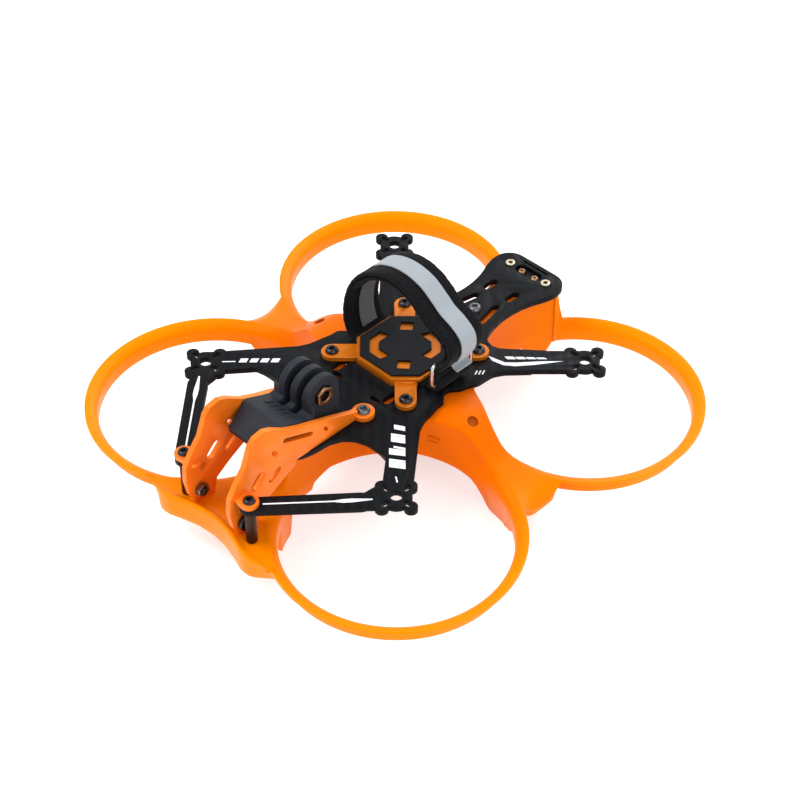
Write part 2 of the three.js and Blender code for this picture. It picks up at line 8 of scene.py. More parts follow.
import bmesh
import bpy
from mathutils import Matrix, Vector


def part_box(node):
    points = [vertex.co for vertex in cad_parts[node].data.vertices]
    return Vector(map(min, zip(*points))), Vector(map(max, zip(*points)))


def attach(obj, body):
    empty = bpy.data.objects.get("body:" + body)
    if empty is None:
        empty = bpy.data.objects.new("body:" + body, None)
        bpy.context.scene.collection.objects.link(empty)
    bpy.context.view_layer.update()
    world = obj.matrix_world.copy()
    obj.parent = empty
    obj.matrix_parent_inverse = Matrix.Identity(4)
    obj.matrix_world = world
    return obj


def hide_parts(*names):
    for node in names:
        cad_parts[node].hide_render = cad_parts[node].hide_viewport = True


bl_info = {
    "name": "Ducted quadcopter frame",
    "version": (1, 0, 0),
    "blender": (4, 5, 0),
    "location": "View3D > Sidebar > Quadcopter",
    "description": "Builds the detailed pieces of a ducted quadcopter frame",
    "category": "Add Mesh",
}

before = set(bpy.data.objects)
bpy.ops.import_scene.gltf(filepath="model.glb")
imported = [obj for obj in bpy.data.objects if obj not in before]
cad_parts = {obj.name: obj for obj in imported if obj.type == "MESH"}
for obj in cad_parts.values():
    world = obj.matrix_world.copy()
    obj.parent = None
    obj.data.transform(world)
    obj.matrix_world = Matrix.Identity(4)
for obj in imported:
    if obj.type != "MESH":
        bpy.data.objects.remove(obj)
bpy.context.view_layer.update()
MM = 0.001


def node_box(node):
    """Lowest and highest corner of a node, in millimetres."""
    low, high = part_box(node)
    return low / MM, high / MM


PLATE_TOP = node_box("main_plate")[1].z
RING_LOW, RING_HIGH = node_box("duct_ring_rear_left")
MOTOR = (RING_LOW.x + RING_HIGH.x) / 2
LIP_R = (RING_HIGH.x - RING_LOW.x) / 2
LIP_Z = RING_HIGH.z - PLATE_TOP
RING_BOTTOM = RING_LOW.z - PLATE_TOP
PAD_LOW, PAD_HIGH = node_box("battery_pad")
BRACKET_Y = (PAD_LOW.y + PAD_HIGH.y) / 2
BUCKLE_LOW, BUCKLE_HIGH = node_box("strap_buckle")


# ------------------------------------------------------------------ settings
class GuardSettings(bpy.types.PropertyGroup):
    """Sizes and colours of the duct guard"""
    wall: bpy.props.FloatProperty(
        name="Wall", description="Thickness of the moulding", default=1.6 * MM, unit="LENGTH")
    duct_radius: bpy.props.FloatProperty(
        name="Duct radius", description="Inner radius of each duct", default=46.5 * MM,
        unit="LENGTH")
    step: bpy.props.IntProperty(
        name="Step", description="Degrees between two sections of a duct", default=2)
    # The two colours below paint light and shade on the moulding: lit is a painted glow out at the
    # rings, deep is painted shade near the middle of the frame, under the plate.
    painted_lit_colour: bpy.props.FloatVectorProperty(
        name="Lit colour", description="Colour where the moulding is thin", subtype="COLOR",
        size=3, default=(0.95, 0.235, 0.0))
    painted_shade_colour: bpy.props.FloatVectorProperty(
        name="Deep colour", description="Colour where the moulding is deep", subtype="COLOR",
        size=3, default=(0.76, 0.13, 0.0))


class PlateSettings(bpy.types.PropertyGroup):
    """Sizes and colours of the carbon plate and the metal plates"""
    chamfer: bpy.props.FloatProperty(
        name="Chamfer", description="Chamfer round the carbon plate", default=0.35 * MM,
        unit="LENGTH")
    carbon: bpy.props.FloatVectorProperty(
        name="Carbon", description="Colour of the carbon laminate", subtype="COLOR", size=3,
        default=(0.004, 0.0048, 0.0062))
    side_plate: bpy.props.FloatVectorProperty(
        name="Side plate", description="Colour of the side plates", subtype="COLOR", size=3,
        default=(0.95, 0.2, 0.008))
    bracket: bpy.props.FloatVectorProperty(
        name="Bracket", description="Colour of the battery bracket", subtype="COLOR", size=3,
        default=(0.6, 0.15, 0.002))
    marking: bpy.props.FloatVectorProperty(
        name="Marking", description="Colour of the printed stripes", subtype="COLOR", size=3,
        default=(0.86, 0.9, 0.94))


class StrapSettings(bpy.types.PropertyGroup):
    """Sizes and colours of the battery strap"""
    width: bpy.props.FloatProperty(
        name="Width", description="Width of the strap", default=20 * MM, unit="LENGTH")
    grip_width: bpy.props.FloatProperty(
        name="Grip width", description="Width of the grip strip", default=8.4 * MM,
        unit="LENGTH")
    felt: bpy.props.FloatVectorProperty(
        name="Felt", description="Colour of the loop fabric", subtype="COLOR", size=3,
        default=(0.004, 0.004, 0.005))
    grip: bpy.props.FloatVectorProperty(
        name="Grip", description="Colour of the grip strip", subtype="COLOR", size=3,
        default=(0.33, 0.37, 0.40))


# ------------------------------------------------------------------ shader groups
def group_tree(name, inputs, outputs):
    tree = bpy.data.node_groups.new(name, "ShaderNodeTree")
    for label, kind, value in inputs:
        socket = tree.interface.new_socket(label, in_out="INPUT", socket_type=kind)
        if value is not None:
            socket.default_value = value
    for label, kind in outputs:
        tree.interface.new_socket(label, in_out="OUTPUT", socket_type=kind)
    return tree, tree.nodes.new("NodeGroupInput"), tree.nodes.new("NodeGroupOutput")


def math_node(tree, operation, a, b=None):
    node = tree.nodes.new("ShaderNodeMath")
    node.operation = operation
    for index, value in enumerate((a, b)):
        if value is None:
            continue
        if isinstance(value, (int, float)):
            node.inputs[index].default_value = value
        else:
            tree.links.new(value, node.inputs[index])
    return node.outputs[0]


def surface_grain_group():
    """Fine grain and slow mottling of a surface, with its own height."""
    tree, source, sink = group_tree(
        "surface_grain",
        [("Grain scale", "NodeSocketFloat", 900.0), ("Mottle scale", "NodeSocketFloat", 40.0)],
        [("Grain", "NodeSocketFloat"), ("Mottle", "NodeSocketFloat"),
         ("Height", "NodeSocketFloat")])
    place = tree.nodes.new("ShaderNodeTexCoord").outputs["Object"]
    results = []
    for label, detail in (("Grain scale", 3.0), ("Mottle scale", 2.0)):
        noise = tree.nodes.new("ShaderNodeTexNoise")
        noise.inputs["Detail"].default_value = detail
        tree.links.new(place, noise.inputs["Vector"])
        tree.links.new(source.outputs[label], noise.inputs["Scale"])
        results.append(noise.outputs["Fac"])
    tree.links.new(results[0], sink.inputs["Grain"])
    tree.links.new(results[1], sink.inputs["Mottle"])
    tree.links.new(math_node(tree, "ADD", results[0], math_node(tree, "MULTIPLY", results[1], 0.5)),
                   sink.inputs["Height"])
    return tree


def woven_group(name, slope):
    """Threads crossing at right angles; slope 1 steps the crossings, as a twill does."""
    tree, source, sink = group_tree(
        name,
        [("Place", "NodeSocketVector", None), ("Threads per metre", "NodeSocketFloat", 800.0)],
        [("Warp", "NodeSocketFloat"), ("Height", "NodeSocketFloat")])
    parts = tree.nodes.new("ShaderNodeSeparateXYZ")
    tree.links.new(source.outputs["Place"], parts.inputs[0])
    across, along = (math_node(tree, "MULTIPLY", parts.outputs[axis], source.outputs[1])
                     for axis in (0, 1))
    column = math_node(tree, "FLOOR", across)
    row = math_node(tree, "FLOOR", along)
    diagonal = math_node(tree, "ADD", math_node(tree, "MULTIPLY", column, slope), row)
    period = 4.0 if slope == 1 else 2.0
    warp = math_node(tree, "LESS_THAN", math_node(
        tree, "FLOORED_MODULO", math_node(tree, "ADD", diagonal, column if slope == 0 else 0.0),
        period), period / 2)
    humps = []
    for value in (across, along):
        wave = math_node(tree, "SINE", math_node(
            tree, "MULTIPLY", math_node(tree, "FRACT", value), math.pi))
        humps.append(wave)
    mix = tree.nodes.new("ShaderNodeMix")
    mix.data_type = "FLOAT"
    tree.links.new(warp, mix.inputs[0])
    tree.links.new(humps[0], mix.inputs[2])
    tree.links.new(humps[1], mix.inputs[3])
    tree.links.new(warp, sink.inputs["Warp"])
    tree.links.new(mix.outputs[0], sink.inputs["Height"])
    return tree


def layer_lines_group():
    """Level ridges of a printed piece."""
    tree, source, sink = group_tree(
        "layer_lines", [("Layers per metre", "NodeSocketFloat", 2200.0)],
        [("Height", "NodeSocketFloat")])
    parts = tree.nodes.new("ShaderNodeSeparateXYZ")
    tree.links.new(tree.nodes.new("ShaderNodeTexCoord").outputs["Object"], parts.inputs[0])
    turns = math_node(tree, "MULTIPLY", parts.outputs[2], source.outputs[0])
    tree.links.new(math_node(tree, "SINE", math_node(tree, "MULTIPLY", turns, 2 * math.pi)),
                   sink.inputs["Height"])
    return tree


GROUPS = {}


def group(name):
    makers = {
        "surface_grain": surface_grain_group,
        "layer_lines": layer_lines_group,
        "twill_weave": lambda: woven_group("twill_weave", 1),
        "plain_weave": lambda: woven_group("plain_weave", 0),
    }
    if name not in GROUPS:
        GROUPS[name] = makers[name]()
    return GROUPS[name]


# ------------------------------------------------------------------ materials
class Finish:
    """A material with one Principled shader, and helpers that wire groups into it."""

    def __init__(self, name, color, roughness, metallic=0.0):
        self.material = bpy.data.materials.new(name)
        self.material.use_nodes = True
        self.tree = self.material.node_tree
        self.shader = self.tree.nodes["Principled BSDF"]
        self.shader.inputs["Base Color"].default_value = (*color, 1.0)
        self.shader.inputs["Roughness"].default_value = roughness
        self.shader.inputs["Metallic"].default_value = metallic

    def set(self, **values):
        for label, value in values.items():
            self.shader.inputs[label.replace("_", " ")].default_value = value

    def effect(self, name, values):
        """Places a shared group in the material, with this material's own values."""
        node = self.tree.nodes.new("ShaderNodeGroup")
        node.node_tree = group(name)
        for label, value in values.items():
            node.inputs[label].default_value = value
        return node

    def grain(self, grain_scale, mottle_scale):
        return self.effect("surface_grain",
                           {"Grain scale": grain_scale, "Mottle scale": mottle_scale})

    def place(self):
        return self.tree.nodes.new("ShaderNodeTexCoord").outputs["Object"]

    def ramp(self, value, low, high, label):
        """Sends a value between 0 and 1 to a socket as a number from low to high."""
        node = self.tree.nodes.new("ShaderNodeMapRange")
        node.inputs["From Min"].default_value = 0.3
        node.inputs["From Max"].default_value = 0.7
        node.inputs["To Min"].default_value = low
        node.inputs["To Max"].default_value = high
        self.tree.links.new(value, node.inputs["Value"])
        self.tree.links.new(node.outputs["Result"], self.shader.inputs[label])

    def blend(self, value, first, second, low=0.3, high=0.7):
        """Colours the surface from first to second as the value goes from low to high."""
        spread = self.tree.nodes.new("ShaderNodeMapRange")
        spread.inputs["From Min"].default_value = low
        spread.inputs["From Max"].default_value = high
        self.tree.links.new(value, spread.inputs["Value"])
        mix = self.tree.nodes.new("ShaderNodeMix")
        mix.data_type = "RGBA"
        mix.inputs[6].default_value = (*first, 1.0)
        mix.inputs[7].default_value = (*second, 1.0)
        self.tree.links.new(spread.outputs["Result"], mix.inputs[0])
        self.tree.links.new(mix.outputs[2], self.shader.inputs["Base Color"])

    def bump(self, height, distance, strength=1.0, after=None):
        node = self.tree.nodes.new("ShaderNodeBump")
        node.inputs["Distance"].default_value = distance
        node.inputs["Strength"].default_value = strength
        self.tree.links.new(height, node.inputs["Height"])
        if after is not None:
            self.tree.links.new(after.outputs[0], node.inputs["Normal"])
        self.tree.links.new(node.outputs[0], self.shader.inputs["Normal"])
        return node


def scaled(color, factor):
    return tuple(min(1.0, part * factor) for part in color)


def moulded_orange(settings):
    finish = Finish("moulded_orange", settings.painted_lit_colour, roughness=0.36)
    finish.set(Subsurface_Weight=0.1, Subsurface_Radius=(1.0, 0.3, 0.0),
               Subsurface_Scale=3.0 * MM, Specular_IOR_Level=0.16,
               Specular_Tint=(1.0, 0.5, 0.06, 1.0))
    grain = finish.grain(grain_scale=1400.0, mottle_scale=22.0)
    tree = finish.tree
    reach = tree.nodes.new("ShaderNodeVectorMath")
    reach.operation = "LENGTH"
    flat = tree.nodes.new("ShaderNodeVectorMath")
    flat.operation = "MULTIPLY"
    flat.inputs[1].default_value = (1.0, 1.0, 0.0)
    tree.links.new(finish.place(), flat.inputs[0])
    tree.links.new(flat.outputs[0], reach.inputs[0])
    # Painted light and shade: deeper orange near the middle of the frame, where the hull lies in
    # the plate's shade, lighter out at the rings as a painted glow, with a little random mottle in
    # the border.
    mottled_shade_mask = math_node(tree, "ADD", reach.outputs["Value"],
                        math_node(tree, "MULTIPLY", grain.outputs["Mottle"], 12 * MM))
    finish.blend(mottled_shade_mask, settings.painted_shade_colour, settings.painted_lit_colour, low=58 * MM, high=118 * MM)
    finish.ramp(grain.outputs["Grain"], 0.29, 0.4, "Roughness")
    finish.bump(grain.outputs["Height"], distance=0.03 * MM, strength=0.35)
    return finish.material


# Painted shade: the inside of the drilled hole is a much darker orange, for the shade that falls in
# it.
def recess_orange(settings):
    color = scaled(settings.painted_shade_colour, 0.55)
    finish = Finish("recess_orange", color, roughness=0.5)
    finish.set(Specular_IOR_Level=0.1)
    grain = finish.grain(grain_scale=1400.0, mottle_scale=40.0)
    finish.blend(grain.outputs["Mottle"], scaled(color, 0.9), scaled(color, 1.1))
    return finish.material


def anodised(name, color, roughness):
    finish = Finish(name, color, roughness=roughness, metallic=0.3)
    finish.set(Specular_IOR_Level=0.3)
    grain = finish.grain(grain_scale=2600.0, mottle_scale=60.0)
    finish.blend(grain.outputs["Mottle"], scaled(color, 0.85), scaled(color, 1.1))
    finish.ramp(grain.outputs["Grain"], roughness - 0.05, roughness + 0.1, "Roughness")
    finish.bump(grain.outputs["Height"], distance=0.012 * MM, strength=0.5)
    return finish.material


# Painted highlight: the chamfers of the bracket take a lighter metallic orange, for the bright line
# of light along its edges.
def painted_highlight_chamfer():
    finish = Finish("painted_highlight_chamfer", (0.95, 0.42, 0.12), roughness=0.22, metallic=0.8)
    grain = finish.grain(grain_scale=3000.0, mottle_scale=120.0)
    finish.ramp(grain.outputs["Grain"], 0.16, 0.3, "Roughness")
    return finish.material


def carbon_laminate(settings):
    finish = Finish("carbon_laminate", settings.carbon, roughness=0.5)
    finish.set(Specular_IOR_Level=0.09)
    weave = finish.effect("twill_weave", {"Threads per metre": 620.0})
    finish.tree.links.new(finish.place(), weave.inputs["Place"])
    finish.blend(weave.outputs["Warp"], scaled(settings.carbon, 0.8),
                 scaled(settings.carbon, 1.25), low=0.0, high=1.0)
    finish.ramp(weave.outputs["Warp"], 0.42, 0.56, "Roughness")
    first = finish.bump(weave.outputs["Height"], distance=0.03 * MM, strength=0.25)
    grain = finish.grain(grain_scale=2400.0, mottle_scale=90.0)
    finish.bump(grain.outputs["Height"], distance=0.02 * MM, strength=0.4, after=first)
    return finish.material


def carbon_edge(settings):
    finish = Finish("carbon_edge", scaled(settings.carbon, 0.7), roughness=0.5)
    finish.set(Specular_IOR_Level=0.15)
    lines = finish.effect("layer_lines", {"Layers per metre": 3200.0})
    finish.bump(lines.outputs["Height"], distance=0.02 * MM, strength=0.5)
    return finish.material


def printed_rubber():
    color = (0.016, 0.019, 0.026)
    finish = Finish("printed_rubber", color, roughness=0.6)
    finish.set(Specular_IOR_Level=0.21)
    lines = finish.effect("layer_lines", {"Layers per metre": 2500.0})
    first = finish.bump(lines.outputs["Height"], distance=0.05 * MM, strength=0.55)
    grain = finish.grain(grain_scale=1200.0, mottle_scale=70.0)
    finish.blend(grain.outputs["Mottle"], scaled(color, 0.8), scaled(color, 1.2))
    finish.bump(grain.outputs["Height"], distance=0.05 * MM, strength=0.5, after=first)
    return finish.material


def pad_rubber():
    color = (0.008, 0.009, 0.011)
    finish = Finish("pad_rubber", color, roughness=0.55)
    finish.set(Specular_IOR_Level=0.10)
    grain = finish.grain(grain_scale=1600.0, mottle_scale=80.0)
    finish.blend(grain.outputs["Mottle"], scaled(color, 0.8), scaled(color, 1.3))
    finish.bump(grain.outputs["Height"], distance=0.04 * MM, strength=0.6)
    return finish.material


def metal(name, color, roughness):
    finish = Finish(name, color, roughness=roughness, metallic=1.0)
    grain = finish.grain(grain_scale=3500.0, mottle_scale=300.0)
    finish.blend(grain.outputs["Mottle"], scaled(color, 0.8), scaled(color, 1.15))
    finish.ramp(grain.outputs["Grain"], roughness - 0.06, roughness + 0.12, "Roughness")
    finish.bump(grain.outputs["Height"], distance=0.01 * MM, strength=0.5)
    return finish.material


def loop_felt(settings):
    color = tuple(settings.felt)
    finish = Finish("loop_felt", color, roughness=0.95)
    finish.set(Sheen_Weight=0.04, Sheen_Roughness=0.5, Specular_IOR_Level=0.1)
    grain = finish.grain(grain_scale=1500.0, mottle_scale=260.0)
    finish.blend(grain.outputs["Grain"], scaled(color, 0.4), scaled(color, 2.2))
    finish.bump(grain.outputs["Height"], distance=0.35 * MM, strength=0.9)
    return finish.material


def woven_band(name, color, thread_gap_shade, threads):
    finish = Finish(name, color, roughness=0.62)
    finish.set(Sheen_Weight=0.1)
    weave = finish.effect("plain_weave", {"Threads per metre": threads})
    place = finish.tree.nodes.new("ShaderNodeUVMap").outputs[0]
    finish.tree.links.new(place, weave.inputs["Place"])
    # Painted shade: each thread darkens towards its edges, for the shade in the gaps between
    # threads.
    finish.blend(weave.outputs["Height"], thread_gap_shade, color, low=0.0, high=0.55)
    finish.bump(weave.outputs["Height"], distance=0.12 * MM, strength=0.6)
    return finish.material


def printed_white(settings):
    finish = Finish("printed_white", settings.marking, roughness=0.45)
    grain = finish.grain(grain_scale=2500.0, mottle_scale=120.0)
    finish.blend(grain.outputs["Mottle"], scaled(settings.marking, 0.9), settings.marking)
    return finish.material


def pale_floor():
    finish = Finish("pale_floor", (0.66, 0.66, 0.66), roughness=0.9)
    finish.set(Emission_Color=(1.0, 1.0, 1.0, 1.0), Emission_Strength=0.55)
    grain = finish.grain(grain_scale=60.0, mottle_scale=3.0)
    finish.blend(grain.outputs["Mottle"], (0.655, 0.655, 0.655), (0.665, 0.665, 0.665))
    return finish.material


MATERIALS = {}


def material(name):
    scene = bpy.context.scene
    makers = {
        "moulded_orange": lambda: moulded_orange(scene.quad_guard),
        "recess_orange": lambda: recess_orange(scene.quad_guard),
        "side_plate_orange": lambda: anodised(
            "side_plate_orange", tuple(scene.quad_plates.side_plate), 0.36),
        "bracket_orange": lambda: anodised(
            "bracket_orange", tuple(scene.quad_plates.bracket), 0.34),
        "painted_highlight_chamfer": painted_highlight_chamfer,
        "carbon_laminate": lambda: carbon_laminate(scene.quad_plates),
        "carbon_edge": lambda: carbon_edge(scene.quad_plates),
        "printed_rubber": printed_rubber,
        "pad_rubber": pad_rubber,
        "black_steel": lambda: metal("black_steel", (0.05, 0.05, 0.055), 0.24),
        "plain_steel": lambda: metal("plain_steel", (0.62, 0.63, 0.66), 0.24),
        "gunmetal": lambda: metal("gunmetal", (0.16, 0.16, 0.17), 0.28),
        "nut_bronze": lambda: metal("nut_bronze", (0.3, 0.17, 0.09), 0.25),
        "dark_bronze": lambda: metal("dark_bronze", (0.05, 0.035, 0.028), 0.38),
        "pale_brass": lambda: metal("pale_brass", (0.5, 0.44, 0.32), 0.3),
        "loop_felt": lambda: loop_felt(scene.quad_strap),
        # The second colour of each woven band is the painted shade between its threads.
        "grip_weave": lambda: woven_band(
            "grip_weave", tuple(scene.quad_strap.grip), (0.16, 0.19, 0.21), 1500.0),
        "hook_weave": lambda: woven_band(
            "hook_weave", (0.12, 0.13, 0.14), (0.012, 0.012, 0.014), 900.0),
        "printed_white": lambda: printed_white(scene.quad_plates),
        "pale_floor": pale_floor,
    }
    if name not in MATERIALS:
        MATERIALS[name] = makers[name]()
    return MATERIALS[name]


# ------------------------------------------------------------------ mesh helpers
def add_object(name, mesh):
    obj = bpy.data.objects.new(name, mesh)
    bpy.context.scene.collection.objects.link(obj)
    return obj


def settle(obj, sharp=35.0):
    """Applies the modifiers, then shades the mesh smooth up to the given angle."""
    graph = bpy.context.evaluated_depsgraph_get()
    mesh = bpy.data.meshes.new_from_object(obj.evaluated_get(graph))
    obj.modifiers.clear()
    obj.data = mesh
    mesh.shade_smooth()
    mesh.set_sharp_from_angle(angle=math.radians(sharp))
    return obj


def add_bevel(obj, width, segments=2, angle=30.0, material_index=-1):
    bevel = obj.modifiers.new("edge", "BEVEL")
    bevel.width = width
    bevel.segments = segments
    bevel.limit_method = "ANGLE"
    bevel.angle_limit = math.radians(angle)
    bevel.use_clamp_overlap = True
    bevel.material = material_index


def face_outwards(obj):
    """Turns every face of a closed mesh outwards."""
    build = bmesh.new()
    build.from_mesh(obj.data)
    bmesh.ops.recalc_face_normals(build, faces=build.faces)
    build.to_mesh(obj.data)
    build.free()


def take_in(obj, other):
    """Adds the mesh of another object to this one, and removes the other."""
    build = bmesh.new()
    build.from_mesh(obj.data)
    build.from_mesh(other.data)
    build.to_mesh(obj.data)
    build.free()
    bpy.data.objects.remove(other)


def finish_piece(obj, slot, *nodes, body="frame"):
    """Puts a piece on its body, in place of the nodes it stands for; the slot is not used."""
    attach(obj, body)
    if nodes:
        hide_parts(*nodes)


def from_points(name, points, faces, *materials):
    mesh = bpy.data.meshes.new(name)
    mesh.from_pydata([Vector(p) * MM for p in points], [], faces)
    mesh.validate()
    for entry in materials:
        mesh.materials.append(material(entry))
    return add_object(name, mesh)


def round_facets(build, least, offset):
    """Rounds the upright edges of an outline whose neighbours are at least so far off."""
    chosen = []
    for edge in build.edges:
        a, b = (vert.co for vert in edge.verts)
        upright = abs((b - a).normalized().z) > 0.999
        if not upright or len(edge.link_faces) != 2:
            continue
        bend = edge.link_faces[0].normal.angle(edge.link_faces[1].normal)
        spans = [face.calc_area() / edge.calc_length() for face in edge.link_faces]
        if min(spans) > least and math.radians(4) < bend < math.radians(80):
            chosen.append(edge)
    if chosen:
        bmesh.ops.bevel(build, geom=chosen, offset=offset, segments=4, profile=0.5,
                        affect="EDGES", clamp_overlap=True)


def from_node(node, name, chamfer, segments, *materials, rounding=()):
    """A new mesh in the shape of a node, cleaned up, with its edges broken."""
    build = bmesh.new()
    build.from_mesh(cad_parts[node].data)
    bmesh.ops.remove_doubles(build, verts=build.verts, dist=0.002 * MM)
    bmesh.ops.dissolve_limit(build, angle_limit=math.radians(1.0), verts=build.verts,
                             edges=build.edges)
    for least, offset in rounding:
        round_facets(build, least * MM, offset * MM)
    mesh = bpy.data.meshes.new(name)
    build.to_mesh(mesh)
    build.free()
    for entry in materials:
        mesh.materials.append(material(entry))
    for polygon in mesh.polygons:
        polygon.material_index = 0
    obj = add_object(name, mesh)
    add_bevel(obj, chamfer, segments, 30.0, 1 if len(materials) > 1 else -1)
    return settle(obj)


class Skin:
    """Collects point grids into one mesh, each grid facing a given point."""

    def __init__(self):
        self.points, self.faces = [], []

    def grid(self, rows, toward, closed=False):
        start, count = len(self.points), len(rows[0])
        for row in rows:
            self.points.extend(row)
        faces = []
        last = len(rows) if closed else len(rows) - 1
        for i in range(last):
            k = (i + 1) % len(rows)
            for j in range(count - 1):
                faces.append((start + i * count + j, start + i * count + j + 1,
                              start + k * count + j + 1, start + k * count + j))
        votes = 0.0
        for face in faces:
            a, b, c, d = (Vector(self.points[n]) for n in face)
            votes += (c - a).cross(d - b).dot(Vector(toward) - (a + b + c + d) / 4)
        if votes < 0:
            faces = [tuple(reversed(face)) for face in faces]
        self.faces.extend(faces)

    def build(self, name, *materials):
        obj = from_points(name, self.points, self.faces, *materials)
        build = bmesh.new()
        build.from_mesh(obj.data)
        bmesh.ops.remove_doubles(build, verts=build.verts, dist=0.02 * MM)
        build.to_mesh(obj.data)
        build.free()
        return obj


def along(table, at):
    """Value at a place in a table of (place, value) stations."""
    if at <= table[0][0]:
        return table[0][1]
    for (x0, y0), (x1, y1) in zip(table, table[1:]):
        if at <= x1:
            return y0 + (y1 - y0) * (at - x0) / (x1 - x0)
    return table[-1][1]


def ease(value):
    value = min(1.0, max(0.0, value))
    return value * value * (3 - 2 * value)


FINE_STEPS = 16


def smooth_line(points, count):
    """Evenly spaced points on a Catmull-Rom curve through the given ones."""
    ends = [Vector(points[0]) * 2 - Vector(points[1])]
    ends += [Vector(p) for p in points]
    ends += [Vector(points[-1]) * 2 - Vector(points[-2])]
    fine = []
    for a, b, c, d in zip(ends, ends[1:], ends[2:], ends[3:]):
        for k in range(FINE_STEPS):
            t = k / FINE_STEPS
            fine.append(0.5 * ((2 * b) + (c - a) * t + (2 * a - 5 * b + 4 * c - d) * t * t
                               + (3 * b - a - 3 * c + d) * t * t * t))
    fine.append(ends[-2])
    lengths = [0.0]
    for a, b in zip(fine, fine[1:]):
        lengths.append(lengths[-1] + (b - a).length)
    out = []
    index = 0
    for k in range(count + 1):
        want = lengths[-1] * k / count
        while index < len(fine) - 2 and lengths[index + 1] < want:
            index += 1
        span = lengths[index + 1] - lengths[index] or 1.0
        out.append(fine[index].lerp(fine[index + 1], (want - lengths[index]) / span))
    return out


# ------------------------------------------------------------------ duct guard
# A duct is drawn once, at (+MOTOR, -MOTOR), as sections at angles round its axis.
# Angle 90 points to the duct behind it and angle 180 to the duct across the nose.
SIDE_CREST = [(58, LIP_Z), (70, -19.5), (76, -18.3), (81, -17.2), (86, -16.4), (90, -14.0),
              (94, -10.4), (98.5, -6.6), (103, -4.1), (108, -3.0), (114, -2.8)]
SIDE_RADIUS = [(58, LIP_R), (80, 51.4), (90, 51.3), (98.5, 50.9), (108, 49.6), (114, 49.4)]
NOSE_CREST = [(183, -2.8), (187, -5.0), (193, -11.0), (198, -16.0), (203, -19.3), (208, -20.1),
              (250, LIP_Z)]
NOSE_RADIUS = [(183, 49.4), (193, 50.6), (203, 51.6), (208, LIP_R)]
TAIL_CREST = [(216, -2.8), (219.5, LIP_Z)]
TAIL_RADIUS = [(216, 49.4), (219.5, LIP_R)]
FOOT_Z = 0.1 - PLATE_TOP
# Angles that the saddle, the nose floor, the feet and the decks reach over.
SADDLE_FIRST, SADDLE_LAST = 58, 134
NOSE_FIRST, NOSE_LAST = 184, 250
NOSE_BEND = 214
SIDE_FOOT_FIRST, SIDE_FOOT_LAST = 64, 90
NOSE_TAB_FIRST, NOSE_TAB_LAST = 199, 213
TAIL_FOOT_FIRST = 196
TAIL_CORNER = 216
FRONT_DECK_FIRST = 138
TAIL_DECK_FIRST, TAIL_DECK_LAST = 150, 204
FRONT_DECK_END_Y = -13.5
FOOT_ANGLE = 70
# Height of a duct's lower edge over the plate, past the side foot and at the tail.
NOSE_EDGE = [(90, RING_BOTTOM), (94, -26.0), (101, -24.3), (110, -23.2), (125, -21.8),
             (170, -21.8), (182, -26.0)]
TAIL_EDGE = [(TAIL_FOOT_FIRST, RING_BOTTOM), (204, FOOT_Z), (206, FOOT_Z),
             (TAIL_CORNER - 2, RING_BOTTOM)]
SIDE_FOOT_FLARE = 4.1
SIDE_FOOT_SLOPE = 5
NOSE_TAB_FLARE = 0.5
# A wall is a bell curve where it is low and upright with a rounded top where it is tall.
FLARE_START = -23.6
WALL_ROWS = 12
TALL_WALL = 7.0
ROUND_OVER = 1.3
UPRIGHT_SHARE = 0.72
SMOOTHED_FIRST, SMOOTHED_LAST = 50, 256
SMOOTHING_PASSES = 3
SADDLE_END_Z = -26.6
SADDLE_CROWN = 0.5
SADDLE_BOW = 0.4
SADDLE_CORNER = 2.6
SADDLE_COLUMNS = 12
ROLL_START = 72
ROLL_DROP = 5.8
HOLE_X, HOLE_Y = 44.7, -0.83
HOLE_R = 2.4
HOLE_DEPTH = 1.25
HOLE_TOOL = 8.0
# Two raised ribs on the wall: height, far end and drop of each, and their common start.
RIBS = ((-11.8, 37.3, 1.2), (-14.1, 36.9, 0.7))
RIB_START_X = 32.3
RIB_R = 0.32
GUARD_EDGE = 0.3
GUARD_SHARP = 50.0


def crest(angle, end):
    """Radius and height of the crest of the wall at an angle."""
    if angle < 150:
        return along(SIDE_RADIUS, angle), along(SIDE_CREST, angle)
    if end == "nose":
        return along(NOSE_RADIUS, angle), along(NOSE_CREST, angle)
    return along(TAIL_RADIUS, angle), along(TAIL_CREST, angle)


def foot_edge(angle, end, duct_r):
    """Radius and height of the lower edge of the wall at an angle."""
    if SIDE_FOOT_FIRST <= angle <= SIDE_FOOT_LAST:
        drop = min(ease((angle - SIDE_FOOT_FIRST) / SIDE_FOOT_SLOPE),
                   ease((SIDE_FOOT_LAST - angle) / SIDE_FOOT_SLOPE))
        return duct_r + SIDE_FOOT_FLARE * drop, RING_BOTTOM + (FOOT_Z - RING_BOTTOM) * drop
    if end == "nose" and NOSE_EDGE[0][0] < angle < NOSE_EDGE[-1][0]:
        return duct_r, along(NOSE_EDGE, angle)
    if end == "nose" and NOSE_TAB_FIRST <= angle <= NOSE_TAB_LAST:
        return duct_r + NOSE_TAB_FLARE, FOOT_Z
    if end == "tail" and TAIL_FOOT_FIRST <= angle <= TAIL_CORNER - 2:
        return duct_r, along(TAIL_EDGE, angle)
    return duct_r, RING_BOTTOM


